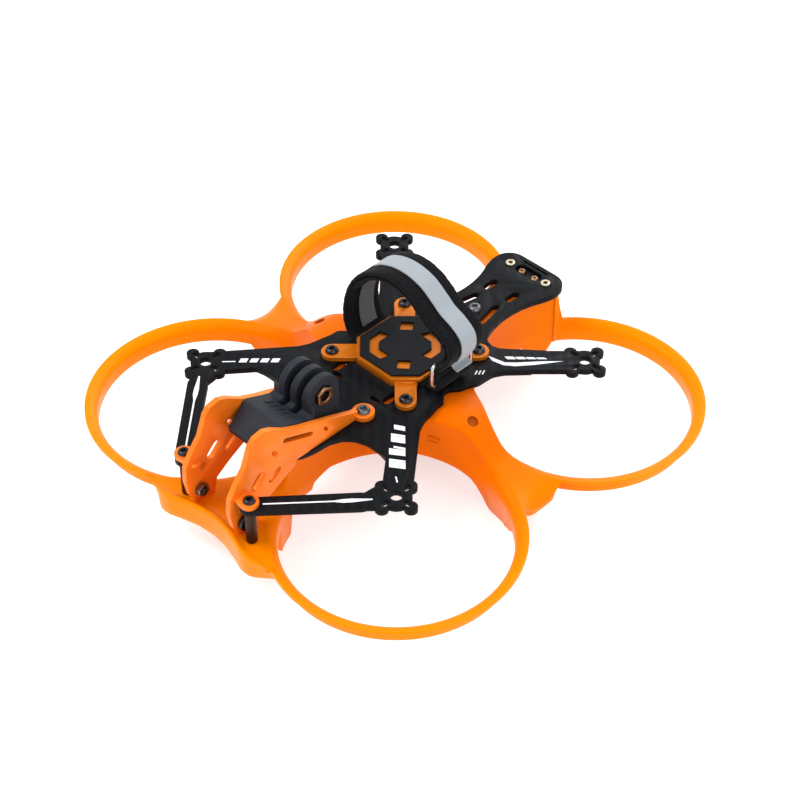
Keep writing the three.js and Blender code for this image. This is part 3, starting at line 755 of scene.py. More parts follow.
def section(angle, end, duct_r):
    """Points (r, z) of the wall at an angle, from its lower edge to its crest."""
    crest_r, crest_z = crest(angle, end)
    low_r, low_z = foot_edge(angle, end, duct_r)
    start = max(FLARE_START, low_z + 1.2)
    points = [(low_r, low_z), ((low_r + duct_r) / 2, (low_z + start) / 2), (duct_r, start)]
    tall = ease((crest_z - LIP_Z) / TALL_WALL)
    for k in range(1, WALL_ROWS + 1):
        s = k / WALL_ROWS
        bell = (duct_r + (crest_r - duct_r) * (1 - math.cos(s * math.pi / 2)),
                start + (crest_z - start) * math.sin(s * math.pi / 2))
        if s <= UPRIGHT_SHARE:
            u = s / UPRIGHT_SHARE
            upright = (duct_r + (crest_r - ROUND_OVER - duct_r) * math.sin(u * math.pi / 2),
                       start + (crest_z - ROUND_OVER - start) * u)
        else:
            v = (s - UPRIGHT_SHARE) / (1 - UPRIGHT_SHARE) * math.pi / 2
            upright = (crest_r - ROUND_OVER * math.cos(v),
                       crest_z - ROUND_OVER + ROUND_OVER * math.sin(v))
        points.append((bell[0] + (upright[0] - bell[0]) * tall,
                       bell[1] + (upright[1] - bell[1]) * tall))
    return points


def duct_sections(end, duct_r, step):
    """The wall of one duct as rows of points, in millimetres."""
    rows = []
    for angle in range(0, 360, step):
        a = math.radians(angle)
        rows.append([(MOTOR + r * math.cos(a), -MOTOR + r * math.sin(a), z + PLATE_TOP)
                     for r, z in section(angle, end, duct_r)])
    for _ in range(SMOOTHING_PASSES):
        previous = rows
        rows = []
        for i, row in enumerate(previous):
            before, after = previous[i - 1], previous[(i + 1) % len(previous)]
            angle = i * step
            keep = end == "tail" and abs(angle - TAIL_CORNER) <= 4
            if keep or not SMOOTHED_FIRST <= angle <= SMOOTHED_LAST:
                rows.append(row)
                continue
            new = []
            for j, point in enumerate(row):
                z = (before[j][2] + 2 * point[2] + after[j][2]) / 4
                new.append((point[0], point[1], z if j > 0 else point[2]))
            rows.append(new)
    return rows


def flipped(points, sx, sy):
    return [(sx * x, -sy * y, z) for x, y, z in points]


def side_saddle(skin, front, rear, side, step):
    """The ramp between the front and the rear duct on one side, and its outer wall."""
    rows = []
    for angle in range(SADDLE_FIRST, SADDLE_LAST + 1, step):
        a = Vector(front[angle // step][-1])
        b = Vector(rear[angle // step][-1])
        crown = SADDLE_CROWN * ease((angle - 80) / 20) * ease((128 - angle) / 20)
        reach = max(0.0, (ROLL_START - angle) / (ROLL_START - SADDLE_FIRST))
        crown -= ROLL_DROP * (1 - math.sqrt(1 - 0.99 * reach * reach))
        row = []
        for k in range(SADDLE_COLUMNS + 1):
            t = k / SADDLE_COLUMNS
            point = a.lerp(b, t)
            bow = 1 - (2 * t - 1) ** 2
            row.append((point.x, point.y, point.z + crown * bow))
        rows.append(row)
    # The outer edge bows outwards a little between the two ducts.
    edge = []
    for x, y, z in rows[0]:
        bow = 1 - (y / rows[0][0][1]) ** 2
        edge.append((x + side * SADDLE_BOW * bow, y, z))
    rows[0] = edge
    skin.grid(rows, (side * 55, 0, 500))
    half = abs(edge[0][1])
    outer = []
    for depth in (0.0, 0.12, 0.4, 0.7, 1.0):
        line = []
        for x, y, z in edge:
            middle = ease((half - abs(y)) / 5.0)
            inset = SADDLE_CORNER * (1 - middle)
            line.append((x - side * inset * depth ** 0.5, y * (1 - 0.1 * depth),
                         z + (SADDLE_END_Z + PLATE_TOP - z) * depth))
        outer.append(line)
    skin.grid(outer, (side * 500, 0, PLATE_TOP - 25))


def side_foot(skin, front, rear, side, step):
    """The wall that closes a side foot between the two ducts."""
    low_front, low_rear = Vector(front[FOOT_ANGLE // step][0]), Vector(rear[FOOT_ANGLE // step][0])
    rows = []
    for rise in (0.0, 0.35, 0.7, 1.0):
        row = []
        for k in range(9):
            point = low_front.lerp(low_rear, k / 8)
            bow = 1 - (k / 4 - 1) ** 2
            top = SADDLE_END_Z + 3.0 + PLATE_TOP
            row.append((point.x - side * (2.0 + 1.5 * rise) + side * 0.8 * bow,
                        point.y * (0.92 + 0.1 * rise), point.z + (top - point.z) * rise))
        rows.append(row)
    skin.grid(rows, (side * 500, 0, 10))


# The bumper in plan (x, y), its depth, and the height of its top and foot over the plate.
BUMPER_LINE = [(0, -102.0), (8, -102.7), (16, -104.9), (21, -106.7), (25, -107.1), (29.5, -106.0),
               (33, -105.0), (38, -104.2)]
BUMPER_HALF = BUMPER_LINE[-1][0]
BUMPER_DEPTH = 6.5
BUMPER_TOP = [(0, -17.0), (23, -17.2), (30, -18.7), (34, -19.8), (38, LIP_Z)]
BUMPER_FOOT_Z = -28.0
BUMPER_PULL = 4.6
# Section of the bumper as shares: forward, risen towards its top, dropped towards its foot.
BUMPER_SECTION = [
    (0.0, 0.0, 0.0), (0.2, 0.05, 0.0), (0.4, 0.22, 0.0), (0.58, 0.52, 0.0), (0.72, 0.82, 0.0),
    (0.82, 0.97, 0.0), (0.9, 1.0, 0.0), (0.97, 1.0, 0.04), (1.0, 1.0, 0.14), (1.0, 0.0, 0.4),
    (1.0, 0.0, 0.7), (0.99, 0.0, 1.0)]
FLOOR_COLUMNS = 32


def nose_floor(skin, left, right, step):
    """The floor between the two front ducts, and the wavy bumper in front of it."""
    rows = []
    for angle in range(NOSE_FIRST, NOSE_LAST + 1, step):
        a = Vector(right[angle // step][-1])
        b = Vector(left[angle // step][-1])
        bend_y = right[NOSE_BEND // step][-1][1]
        shift = max(0.0, (a.y - bend_y) / (right[NOSE_LAST // step][-1][1] - bend_y))
        row = []
        for k in range(FLOOR_COLUMNS + 1):
            point = a.lerp(b, k / FLOOR_COLUMNS)
            front = along(BUMPER_LINE, abs(point.x) * BUMPER_HALF / abs(a.x))
            front += BUMPER_DEPTH * ease((BUMPER_HALF - abs(point.x)) / 14)
            y = bend_y + (front - bend_y) * shift if angle > NOSE_BEND else point.y
            row.append((point.x, y, point.z))
        rows.append(row)
    skin.grid(rows, (0, -70, 500))
    inner = rows[-1]
    profile = []
    for forward, rise, drop in BUMPER_SECTION:
        line = []
        for x, y, z in inner:
            reach = abs(x) * BUMPER_HALF / abs(inner[0][0])
            front = along(BUMPER_LINE, reach)
            top = along(BUMPER_TOP, reach) + PLATE_TOP
            low = BUMPER_FOOT_Z + PLATE_TOP
            height = z + (top - z) * rise if drop == 0 else top + (low - top) * drop
            pull = BUMPER_PULL * drop * ease((reach - 26) / 12)
            line.append((x, y + (front - y) * forward + pull, height))
        profile.append(line)
    skin.grid(profile, (0, -130, 300))


TAIL_COLUMNS = 16
TAIL_FOOT_HALF = 13.5


def tail_wall(skin, left, right):
    """The upright wall across the tail, with the foot under it."""
    rows = []
    for from_right, from_left in zip(right, left):
        a, b = Vector(from_right), Vector(from_left)
        rows.append([tuple(a.lerp(b, k / TAIL_COLUMNS)) for k in range(TAIL_COLUMNS + 1)])
    foot = []
    for x, y, z in rows[0]:
        drop = ease((TAIL_FOOT_HALF - abs(x)) / 3.0)
        foot.append((x * (1 - 0.03 * drop), y, z + (FOOT_Z + PLATE_TOP - z) * drop))
    skin.grid([foot] + rows, (0, 500, PLATE_TOP - 20))


def duct_wall_point(side, x, over_plate_z, duct_r):
    """The point of a front duct's inner wall, near the saddle, at a distance from the middle."""
    reach = duct_r + 0.9
    y = -MOTOR + math.sqrt(reach * reach - (MOTOR - x) ** 2)
    return side * x, y, over_plate_z + PLATE_TOP


def deck(skin, left, right, low_angle, high_angle, step, y_end=None):
    """The flat deck between the left and right duct, under the slots of the plate."""
    rows = []
    for angle in range(low_angle, high_angle + 1, step):
        a, b = Vector(left[angle // step][-1]), Vector(right[angle // step][-1])
        rows.append([tuple(a.lerp(b, k / 8)) for k in range(9)])
    if y_end is not None:
        rows.insert(0, [(x * 0.9, y_end, z) for x, _, z in rows[0]])
    skin.grid(rows, (0, rows[0][0][1], 500))


def rib(skin, start, end, radius):
    """A thin raised line between two points."""
    a, b = Vector(start), Vector(end)
    axis = (b - a).normalized()
    side = axis.cross(Vector((0, 0, 1))).normalized()
    up = side.cross(axis)
    rows = []
    for k in range(8):
        turn = math.pi * k / 4
        offset = side * math.cos(turn) * radius + up * math.sin(turn) * radius
        rows.append([tuple(a), tuple(a + offset + axis * radius), tuple(b + offset - axis * radius),
                     tuple(b)])
    skin.grid(rows, tuple((a + b) / 2 + Vector((0, -400, 0))), closed=True)


def drill(obj, x, y):
    """Cuts a blind round hole into a piece, square to its surface."""
    bpy.context.view_layer.update()
    hit, place, normal, _ = obj.ray_cast(Vector((x, y, 500)) * MM, Vector((0, 0, -1)))
    if not hit:
        raise RuntimeError("nothing to drill")
    middle = place + normal * (HOLE_TOOL / 2 - HOLE_DEPTH) * MM
    turn = normal.to_track_quat("Z", "Y").to_matrix().to_4x4()
    mesh = bpy.data.meshes.new("drill")
    build = bmesh.new()
    bmesh.ops.create_cone(build, cap_ends=True, segments=32, radius1=HOLE_R * MM,
                          radius2=HOLE_R * MM, depth=HOLE_TOOL * MM,
                          matrix=Matrix.Translation(middle) @ turn)
    build.to_mesh(mesh)
    build.free()
    # The walls of the hole get the darker orange of painted shade.
    mesh.materials.append(material("recess_orange"))
    tool = add_object("drill", mesh)
    cut = obj.modifiers.new("hole", "BOOLEAN")
    cut.operation = "DIFFERENCE"
    cut.solver = "FAST"
    cut.object = tool
    settle(obj, GUARD_SHARP)
    bpy.data.objects.remove(tool)


class QUAD_OT_duct_guard(bpy.types.Operator):
    """Builds the moulded duct guard: four ducts, side saddles, nose floor and tail"""
    bl_idname = "quad.duct_guard"
    bl_label = "Duct guard"

    def execute(self, context):
        settings = context.scene.quad_guard
        duct_r, step = settings.duct_radius / MM, settings.step
        base = {end: duct_sections(end, duct_r, step) for end in ("nose", "tail")}
        skin = Skin()
        ducts = {}
        for sy, end in ((-1, "nose"), (1, "tail")):
            for sx in (1, -1):
                ducts[sx, sy] = [flipped(row, sx, sy) for row in base[end]]
                skin.grid(ducts[sx, sy], (sx * MOTOR, sy * MOTOR, 300), closed=True)
        tail = Skin()
        for side in (1, -1):
            side_saddle(skin, ducts[side, -1], ducts[side, 1], side, step)
            side_foot(tail, ducts[side, -1], ducts[side, 1], side, step)
        nose_floor(skin, ducts[1, -1], ducts[-1, -1], step)
        deck(skin, ducts[1, -1], ducts[-1, -1], FRONT_DECK_FIRST, NOSE_FIRST, step,
             FRONT_DECK_END_Y)
        deck(tail, ducts[1, 1], ducts[-1, 1], TAIL_DECK_FIRST, TAIL_DECK_LAST, step)
        obj = skin.build("duct_guard", "moulded_orange", "recess_orange")
        corner = TAIL_CORNER // step
        tail_wall(tail, ducts[1, 1][corner], ducts[-1, 1][corner])
        wall = tail.build("guard_tail_wall", "moulded_orange")
        ribs = Skin()
        for side in (1, -1):
            for height, far, drop in RIBS:
                start = duct_wall_point(side, RIB_START_X, height, duct_r)
                end = duct_wall_point(side, far, height - drop, duct_r)
                rib(ribs, start, end, RIB_R)
        lines = ribs.build("guard_ribs", "moulded_orange")
        for part in (obj, wall):
            thick = part.modifiers.new("wall", "SOLIDIFY")
            thick.thickness = settings.wall
            thick.offset = -1.0
            thick.use_even_offset = False
            settle(part)
        for vertex in wall.data.vertices:
            vertex.co.z = min(vertex.co.z, (PLATE_TOP + TAIL_CREST[0][1]) * MM)
        take_in(obj, wall)
        for side in (1, -1):
            drill(obj, side * HOLE_X, HOLE_Y)
        add_bevel(obj, GUARD_EDGE * MM, 2, GUARD_SHARP)
        settle(obj, GUARD_SHARP)
        take_in(obj, lines)
        finish_piece(obj, "duct_plastic", "duct_ring_front_left", "duct_ring_front_right",
                     "duct_ring_rear_left", "duct_ring_rear_right", "duct_hull")
        return {"FINISHED"}


# ------------------------------------------------------------------ plates
class QUAD_OT_main_plate(bpy.types.Operator):
    """Builds the carbon plate with its chamfered edge"""
    bl_idname = "quad.main_plate"
    bl_label = "Main plate"

    def execute(self, context):
        obj = from_node("main_plate", "carbon_plate", context.scene.quad_plates.chamfer, 2,
                        "carbon_laminate", "carbon_edge", rounding=((2.4, 1.1), (0.9, 0.4)))
        finish_piece(obj, "carbon_plate", "main_plate")
        return {"FINISHED"}


class QUAD_OT_side_plates(bpy.types.Operator):
    """Builds the two orange side plates"""
    bl_idname = "quad.side_plates"
    bl_label = "Side plates"

    def execute(self, context):
        for side in ("left", "right"):
            obj = from_node(f"side_plate_{side}", f"side_blade_{side}", 0.55 * MM, 3,
                            "side_plate_orange")
            finish_piece(obj, "side_plate_orange", f"side_plate_{side}")
        return {"FINISHED"}


# Two points (y, z) on the slope of the camera mount that carries the raised bars.
MOUNT_SLOPE = ((-69.0, PLATE_TOP + 17.15), (-60.0, PLATE_TOP + 13.45))
BAR_COUNT, BAR_PITCH = 5, 3.0


class QUAD_OT_action_mount(bpy.types.Operator):
    """Builds the printed mount for an action camera, and its captive nut"""
    bl_idname = "quad.action_mount"
    bl_label = "Action camera mount"

    def execute(self, context):
        obj = from_node("action_cam_mount", "camera_mount", 0.45 * MM, 3, "printed_rubber")
        finish_piece(obj, "slate_plastic", "action_cam_mount")
        self.raise_pattern()
        nut = from_node("action_cam_nut", "camera_nut", 0.3 * MM, 2, "nut_bronze")
        finish_piece(nut, "steel", "action_cam_nut")
        return {"FINISHED"}

    def raise_pattern(self):
        """Raised slanted bars on the sloping front of the mount."""
        foot, head = Vector((0.0, *MOUNT_SLOPE[0])), Vector((0.0, *MOUNT_SLOPE[1]))
        slope = (head - foot).normalized()
        normal = Vector((0.0, -slope.z, slope.y))
        middle = foot.lerp(head, 0.5)
        points, faces = [], []
        for k in range(BAR_COUNT):
            x = BAR_PITCH * (k - (BAR_COUNT - 1) / 2)
            corners = [(x - 0.9, -2.0), (x + 0.5, -2.0), (x + 1.5, 2.0), (x + 0.1, 2.0)]
            first = len(points)
            for lift, shrink in ((-0.3, 1.0), (0.25, 1.0), (0.45, 0.86)):
                for cx, cy in corners:
                    px = x + 0.3 + (cx - x - 0.3) * shrink
                    points.append(tuple(middle + Vector((px, 0, 0)) + slope * cy * shrink
                                        + normal * lift))
            for layer in (0, 4):
                faces += [(first + layer + n, first + layer + (n + 1) % 4,
                           first + layer + 4 + (n + 1) % 4, first + layer + 4 + n)
                          for n in range(4)]
            faces += [tuple(first + 8 + n for n in range(4)),
                      tuple(first + n for n in reversed(range(4)))]
        obj = from_points("mount_bars", points, faces, "printed_rubber")
        finish_piece(obj, "slate_plastic")


class QUAD_OT_bracket(bpy.types.Operator):
    """Builds the battery bracket, with a painted highlight on its chamfers"""
    bl_idname = "quad.bracket"
    bl_label = "Battery bracket"

    def execute(self, context):
        obj = from_node("battery_bracket", "bracket_cross", 0.4 * MM, 1, "bracket_orange",
                        "painted_highlight_chamfer")
        finish_piece(obj, "anodised_orange", "battery_bracket")
        return {"FINISHED"}


class QUAD_OT_pad(bpy.types.Operator):
    """Builds the octagonal battery pad"""
    bl_idname = "quad.pad"
    bl_label = "Battery pad"

    def execute(self, context):
        half, corner, edge = (PAD_HIGH.x - PAD_LOW.x) / 2, 8.2, 0.25
        outline = [(half, corner - half), (half, half - corner), (half - corner, half),
                   (corner - half, half), (-half, half - corner), (-half, corner - half),
                   (corner - half, -half), (half - corner, -half)]
        bracket = [(-13.4, -1.4), (-9.2, 0.0), (-9.2, -6.2), (-6.2, -9.2), (0.0, -9.2),
                   (-1.4, -13.4), (-7.4, -13.4), (-13.4, -7.4)]
        wedge = [(4.6, -9.0), (7.6, -12.8), (11.6, -9.4), (8.6, -5.4)]
        rings = [outline]
        for shape in (bracket, wedge):
            rings += [shape, [(-x, -y) for x, y in shape]]
        curve = bpy.data.curves.new("pad_octagon", "CURVE")
        curve.dimensions = "2D"
        curve.fill_mode = "BOTH"
        for ring in rings:
            spline = curve.splines.new("POLY")
            spline.points.add(len(ring) - 1)
            for point, (x, y) in zip(spline.points, ring):
                point.co = (x * MM, (y + BRACKET_Y) * MM, 0.0, 1.0)
            spline.use_cyclic_u = True
        thick = (PAD_HIGH.z - PAD_LOW.z) * MM
        curve.extrude = thick / 2 - edge * MM
        curve.bevel_depth = edge * MM
        curve.bevel_resolution = 1
        curve.offset = -edge * MM
        drawn = add_object("pad_curve", curve)
        graph = bpy.context.evaluated_depsgraph_get()
        mesh = bpy.data.meshes.new_from_object(drawn.evaluated_get(graph))
        bpy.data.objects.remove(drawn)
        mesh.transform(Matrix.Translation((0.0, 0.0, PAD_LOW.z * MM + thick / 2)))
        mesh.materials.clear()
        mesh.materials.append(material("pad_rubber"))
        obj = settle(add_object("pad_octagon", mesh))
        finish_piece(obj, "pad_rubber", "battery_pad")
        return {"FINISHED"}


# ------------------------------------------------------------------ fasteners
HEAD_SIDES = 36
HEAD_DOME = 0.55


def turned_head(name, node, finish, slot, hex_r=1.25, depth=1.1):
    """A button-headed screw over its node, with a hexagonal socket."""
    low, high = node_box(node)
    x, y = (low.x + high.x) / 2, (low.y + high.y) / 2
    head_r = (high.x - low.x) / 2
    top = high.z
    base = top - HEAD_DOME * head_r
    outside = [
        (0.0, low.z), (0.55 * head_r, low.z), (0.55 * head_r, base), (head_r * 0.97, base),
        (head_r, base + 0.15), (head_r * 0.96, base + 0.35 * (top - base)),
        (head_r * 0.86, base + 0.72 * (top - base)), (head_r * 0.7, top - 0.06),
        (head_r * 0.58, top),
    ]
    rows = []
    for k in range(HEAD_SIDES):
        a = 2 * math.pi * k / HEAD_SIDES
        flat = hex_r * math.cos(math.pi / 6) / math.cos((a % (math.pi / 3)) - math.pi / 6)
        socket = [(flat + 0.12, top - 0.03), (flat, top - 0.15), (flat, top - depth),
                  (0.0, top - depth)]
        rows.append([(x + r * math.cos(a), y + r * math.sin(a), z) for r, z in outside + socket])
    skin = Skin()
    skin.grid(rows, (x, y, top + 400), closed=True)
    obj = skin.build(name, finish)
    face_outwards(obj)
    settle(obj, 32.0)
    finish_piece(obj, slot, node)


class QUAD_OT_screws(bpy.types.Operator):
    """Builds every screw that enters the plates from above"""
    bl_idname = "quad.screws"
    bl_label = "Screws"

    def execute(self, context):
        for side in ("left", "right"):
            for end in ("front", "rear"):
                turned_head(f"bracket_bolt_{end}_{side}", f"bracket_screw_{end}_{side}",
                            "black_steel", "black_steel")
            turned_head(f"lug_screw_front_{side}", f"side_plate_screw_front_{side}",
                        "black_steel", "black_steel")
            turned_head(f"lug_screw_rear_{side}", f"side_plate_screw_rear_{side}",
                        "gunmetal", "steel")
            turned_head(f"insert_screw_{side}", f"tail_screw_{side}", "nut_bronze", "steel",
                        hex_r=0.8, depth=0.7)
        turned_head("standoff_screw", "tail_standoff_screw", "gunmetal", "steel", hex_r=1.4)
        return {"FINISHED"}


class QUAD_OT_posts(bpy.types.Operator):
    """Builds the front posts, the side bolts and their nuts"""
    bl_idname = "quad.posts"
    bl_label = "Posts and side bolts"

    def execute(self, context):
        for side in ("left", "right"):
            for node, name, finish, slot, chamfer in (
                    ("front_post", "post", "dark_bronze", "post_metal", 0.25),
                    ("side_bolt", "knurled_bolt", "black_steel", "black_steel", 0.2),
                    ("side_nut", "plate_nut", "gunmetal", "steel", 0.35)):
                obj = from_node(f"{node}_{side}", f"{name}_{side}", chamfer * MM, 2, finish)
                finish_piece(obj, slot, f"{node}_{side}")
        return {"FINISHED"}


class QUAD_OT_tail(bpy.types.Operator):
    """Builds the insert and the eyelets at the tail"""
    bl_idname = "quad.tail"
    bl_label = "Tail fittings"

    def execute(self, context):
        obj = from_node("tail_insert", "insert_block", 0.2 * MM, 2, "pad_rubber")
        finish_piece(obj, "pad_rubber", "tail_insert")
        for side in ("left", "right"):
            obj = from_node(f"tail_eyelet_{side}", f"eyelet_{side}", 0.12 * MM, 2, "pale_brass")
            finish_piece(obj, "eyelet_metal", f"tail_eyelet_{side}")
        return {"FINISHED"}


# ------------------------------------------------------------------ printed stripes
MARK_H = 0.06


def printed(name, outlines):
    """Flat printed shapes on the plate, each drawn anticlockwise in plan."""
    points, faces = [], []
    for outline in outlines:
        n, first = len(outline), len(points)
        points += [(x, y, PLATE_TOP + 0.01) for x, y in outline]
        points += [(x, y, PLATE_TOP + MARK_H) for x, y in outline]
        faces.append(tuple(first + n + k for k in range(n)))
        faces.append(tuple(first + k for k in reversed(range(n))))
        faces += [(first + k, first + (k + 1) % n, first + n + (k + 1) % n, first + n + k)
                  for k in range(n)]
    obj = from_points(name, points, faces, "printed_white")
    face_outwards(obj)
    finish_piece(obj, "carbon_plate")


def stripe(start, end, half0, half1):
    """A tapered bar between two points in plan."""
    a, b = Vector(start), Vector(end)
    side = (b - a).normalized()
    side = Vector((-side.y, side.x))
    return [tuple(a - side * half0), tuple(b - side * half1), tuple(b + side * half1),
            tuple(a + side * half0)]


def slanted(start, along_dir, length, height, slant):
    """A parallelogram that starts at a point and runs along a direction in plan."""
    a, d = Vector(start), Vector(along_dir).normalized()
    side = Vector((-d.y, d.x))
    return [tuple(a), tuple(a + d * length), tuple(a + d * (length + slant) + side * height),
            tuple(a + d * slant + side * height)]


class QUAD_OT_markings(bpy.types.Operator):
    """Builds the printed white stripes on the plate"""
    bl_idname = "quad.markings"
    bl_label = "Printed stripes"

    def execute(self, context):
        # front right arm: a dash, then slanted blocks
        run = Vector((1, 1)).normalized()
        shapes = [stripe((-50.5, -50.7), (-46.7, -46.7), 0.28, 0.28)]
        for k in range(4):
            start = Vector((-45.4, -46.2)) + run * (k * 4.4)
            shapes.append(slanted(start, run, 3.2, 2.4, 0.9))
        # front left arm: a dash, and a stack of bars along the arm
        shapes.append(stripe((50.7, -50.1), (48.0, -48.2), 0.28, 0.28))
        run = Vector((-1, 1)).normalized()
        bars = ((3.4, 6.4), (1.1, 6.4), (3.4, 6.4), (1.1, 4.6), (3.4, 5.6), (1.1, 5.6), (2.6, 4.4))
        for k, (width, reach) in enumerate(bars):
            start = Vector((47.8, -42.6)) + run * (k * 3.6)
            shapes.append(slanted(start, run, width, reach, 1.2))
        # rear left arm: a long chevron with slanted blocks beside it
        shapes.append([(24.9, 29.4), (28.3, 28.3), (33.4, 29.4), (37.4, 32.4), (42.9, 39.2),
                       (49.6, 48.9), (42.5, 41.6), (36.4, 34.6), (32.8, 31.2), (28.6, 30.2)])
        run = Vector((1, 1)).normalized()
        for k in range(4):
            start = Vector((32.2, 33.4)) + run * (k * 4.3)
            shapes.append(slanted(start, run, 3.6, 1.7 - 0.25 * k, -1.2))
        for k in range(3):
            shapes.append(stripe((29.2 + 1.0 * k, 17.0 + 1.1 * k), (28.2 + 1.0 * k, 19.4 + 1.1 * k),
                                 0.3, 0.3))
        # braces: a thin line that swells to a lens near the motor pad
        for side in (1, -1):
            inner, bulge, tip = (Vector((side * x, y)) for x, y in
                                 ((22.4, -94.5), (43.0, -71.8), (50.4, -63.2)))
            neck, shoulder = inner.lerp(bulge, 0.88), bulge.lerp(tip, 0.3)
            shapes.append(stripe(inner, neck, 0.34, 0.34))
            shapes.append(stripe(neck, bulge, 0.34, 0.95))
            shapes.append(stripe(bulge, shoulder, 0.95, 1.0))
            shapes.append(stripe(shoulder, tip, 1.0, 0.3))
        printed("plate_stripes", shapes)
        return {"FINISHED"}


# ------------------------------------------------------------------ strap
BAND_SPANS = 8
BAND_EDGE = 0.8


def ribbon(name, line, width, thick, steps, finish, y=BRACKET_Y, fuzz=0.0):
    """A band of rounded section along a line in (x, z), with UVs in metres."""
    centre = smooth_line([(x, 0.0, z) for x, z in line], steps)
    half, t = width / 2, thick / 2
    corner = min(t, BAND_EDGE)
    above = []
    for k in range(BAND_SPANS + 1):
        across = -half + corner + (2 * half - 2 * corner) * k / BAND_SPANS
        above.append((across, t))
    above += [(half - 0.25 * corner, t * 0.72), (half, 0.0), (half - 0.25 * corner, -t * 0.72)]
    below = []
    for k in range(BAND_SPANS + 1):
        across = half - corner - (2 * half - 2 * corner) * k / BAND_SPANS
        below.append((across, -t))
    below += [(-half + 0.25 * corner, -t * 0.72), (-half, 0.0),
              (-half + 0.25 * corner, t * 0.72)]
    outline = above + below
    points, faces, uvs = [], [], []
    n = len(outline)
    run = 0.0
    for i, place in enumerate(centre):
        a, b = centre[max(i - 1, 0)], centre[min(i + 1, steps)]
        tangent = (b - a).normalized()
        normal = Vector((-tangent.z, 0.0, tangent.x))
        if i:
            run += (place - centre[i - 1]).length
        for k, (across, up) in enumerate(outline):
            ripple = fuzz * math.sin(i * 1.7 + k * 2.3) * math.sin(i * 0.61 + k)
            sideways = Vector((0, y + across * (1 + 0.08 * ripple), 0))
            point = place + normal * (up * (1 + ripple)) + sideways
            points.append(tuple(point))
            uvs.append((across * MM, run * MM))
    for i in range(steps):
        for k in range(n):
            m = (k + 1) % n
            faces.append((i * n + k, i * n + m, (i + 1) * n + m, (i + 1) * n + k))
    faces.append(tuple(reversed(range(n))))
    faces.append(tuple(steps * n + k for k in range(n)))
    obj = from_points(name, points, faces, finish)
    layer = obj.data.uv_layers.new(name="UVMap")
    for loop in obj.data.loops:
        layer.data[loop.index].uv = uvs[loop.vertex_index]
    face_outwards(obj)
    return settle(obj, 50.0)


def over_plate(line):
    return [(x, z + PLATE_TOP) for x, z in line]


def line_length(line):
    """Length in metres of a band laid flat."""
    centre = smooth_line([(x, 0.0, z) for x, z in line], 120)
    return sum((b - a).length for a, b in zip(centre, centre[1:])) * MM


LOOP_LINE = over_plate([
    (20.4, 1.3), (0, 1.3), (-19, 1.3), (-23.6, 3.6), (-25.6, 8.5), (-26.0, 14.5), (-25.0, 21.5),
    (-22.2, 29.5), (-17.4, 36.6), (-10.4, 42.2), (-3.2, 45.0), (4.2, 45.4), (11.2, 43.4),
    (17.2, 39.4), (22.2, 35.4), (28.2, 32.8), (32.6, 29.2), (33.4, 24.0), (31.2, 18.6),
    (27.4, 13.6), (22.6, 11.4)])
INNER_LINE = over_plate([
    (-20.0, 29.2), (-18.6, 31.6), (-15.8, 35.0), (-9.6, 40.0), (-2.9, 42.6),
    (3.8, 43.0), (10.2, 41.2), (16.0, 37.3), (21.2, 33.2), (27.0, 30.6), (30.6, 27.6),
    (31.1, 23.8), (29.2, 19.8), (26.0, 16.0)])
GRIP_LINE = over_plate([
    (-14.1, 41.0), (-10.1, 43.8), (-3.3, 46.2), (4.3, 46.6), (11.8, 44.7), (18.0, 40.6),
    (23.0, 36.8), (28.9, 34.1), (33.9, 29.9), (34.8, 23.9), (32.3, 17.7)])
HOOK_LINE = over_plate([(-22.4, 3.4), (-24.0, 8.5), (-24.4, 14.5), (-23.4, 21.2), (-20.7, 28.9),
                        (-17.6, 33.6)])
TAB_LINE = over_plate([(28.9, 16.9), (29.6, 15.0), (30.8, 13.8), (33.0, 13.2)])
SEWN_LINE = over_plate([(21.0, 1.7), (24.2, 1.9), (26.6, 2.8), (27.8, 5.0), (26.4, 7.0),
                        (24.6, 6.0)])


class QUAD_OT_strap(bpy.types.Operator):
    """Builds the battery strap with its grip strip, hook strip, tab and sewn end"""
    bl_idname = "quad.strap"
    bl_label = "Battery strap"

    def execute(self, context):
        settings = context.scene.quad_strap
        width, grip = settings.width / MM, settings.grip_width / MM
        inner_width = width - 0.6
        loop = ribbon("strap_loop", LOOP_LINE, width, 1.7, 150, "loop_felt", fuzz=0.12)
        finish_piece(loop, "strap_webbing", "battery_strap")
        inner = ribbon("strap_overlap", INNER_LINE, inner_width, 1.6, 110, "loop_felt", fuzz=0.15)
        finish_piece(inner, "strap_webbing")
        line_length(INNER_LINE)
        outer = ribbon("grip_strip", GRIP_LINE, grip, 0.7, 110, "grip_weave", BRACKET_Y + 0.5)
        finish_piece(outer, "grip_webbing", "strap_grip_strip")
        hook = ribbon("hook_strip", HOOK_LINE, grip, 0.7, 60, "hook_weave", BRACKET_Y + 1.6)
        finish_piece(hook, "grip_webbing")
        tab = ribbon("pull_tab", TAB_LINE, 9.0, 0.9, 16, "grip_weave", BRACKET_Y + 0.5)
        finish_piece(tab, "grip_webbing", "strap_pull_tab")
        sewn = ribbon("sewn_end", SEWN_LINE, width - 1.0, 1.3, 40, "loop_felt", fuzz=0.1)
        finish_piece(sewn, "strap_webbing", "strap_sewn_end")
        line_length(LOOP_LINE)
        return {"FINISHED"}


# Half the wire's thickness, the radius of its bends, and how far it is flattened.
BUCKLE_WIRE = 0.9
BUCKLE_BEND = 1.8
BUCKLE_FLAT = 0.78


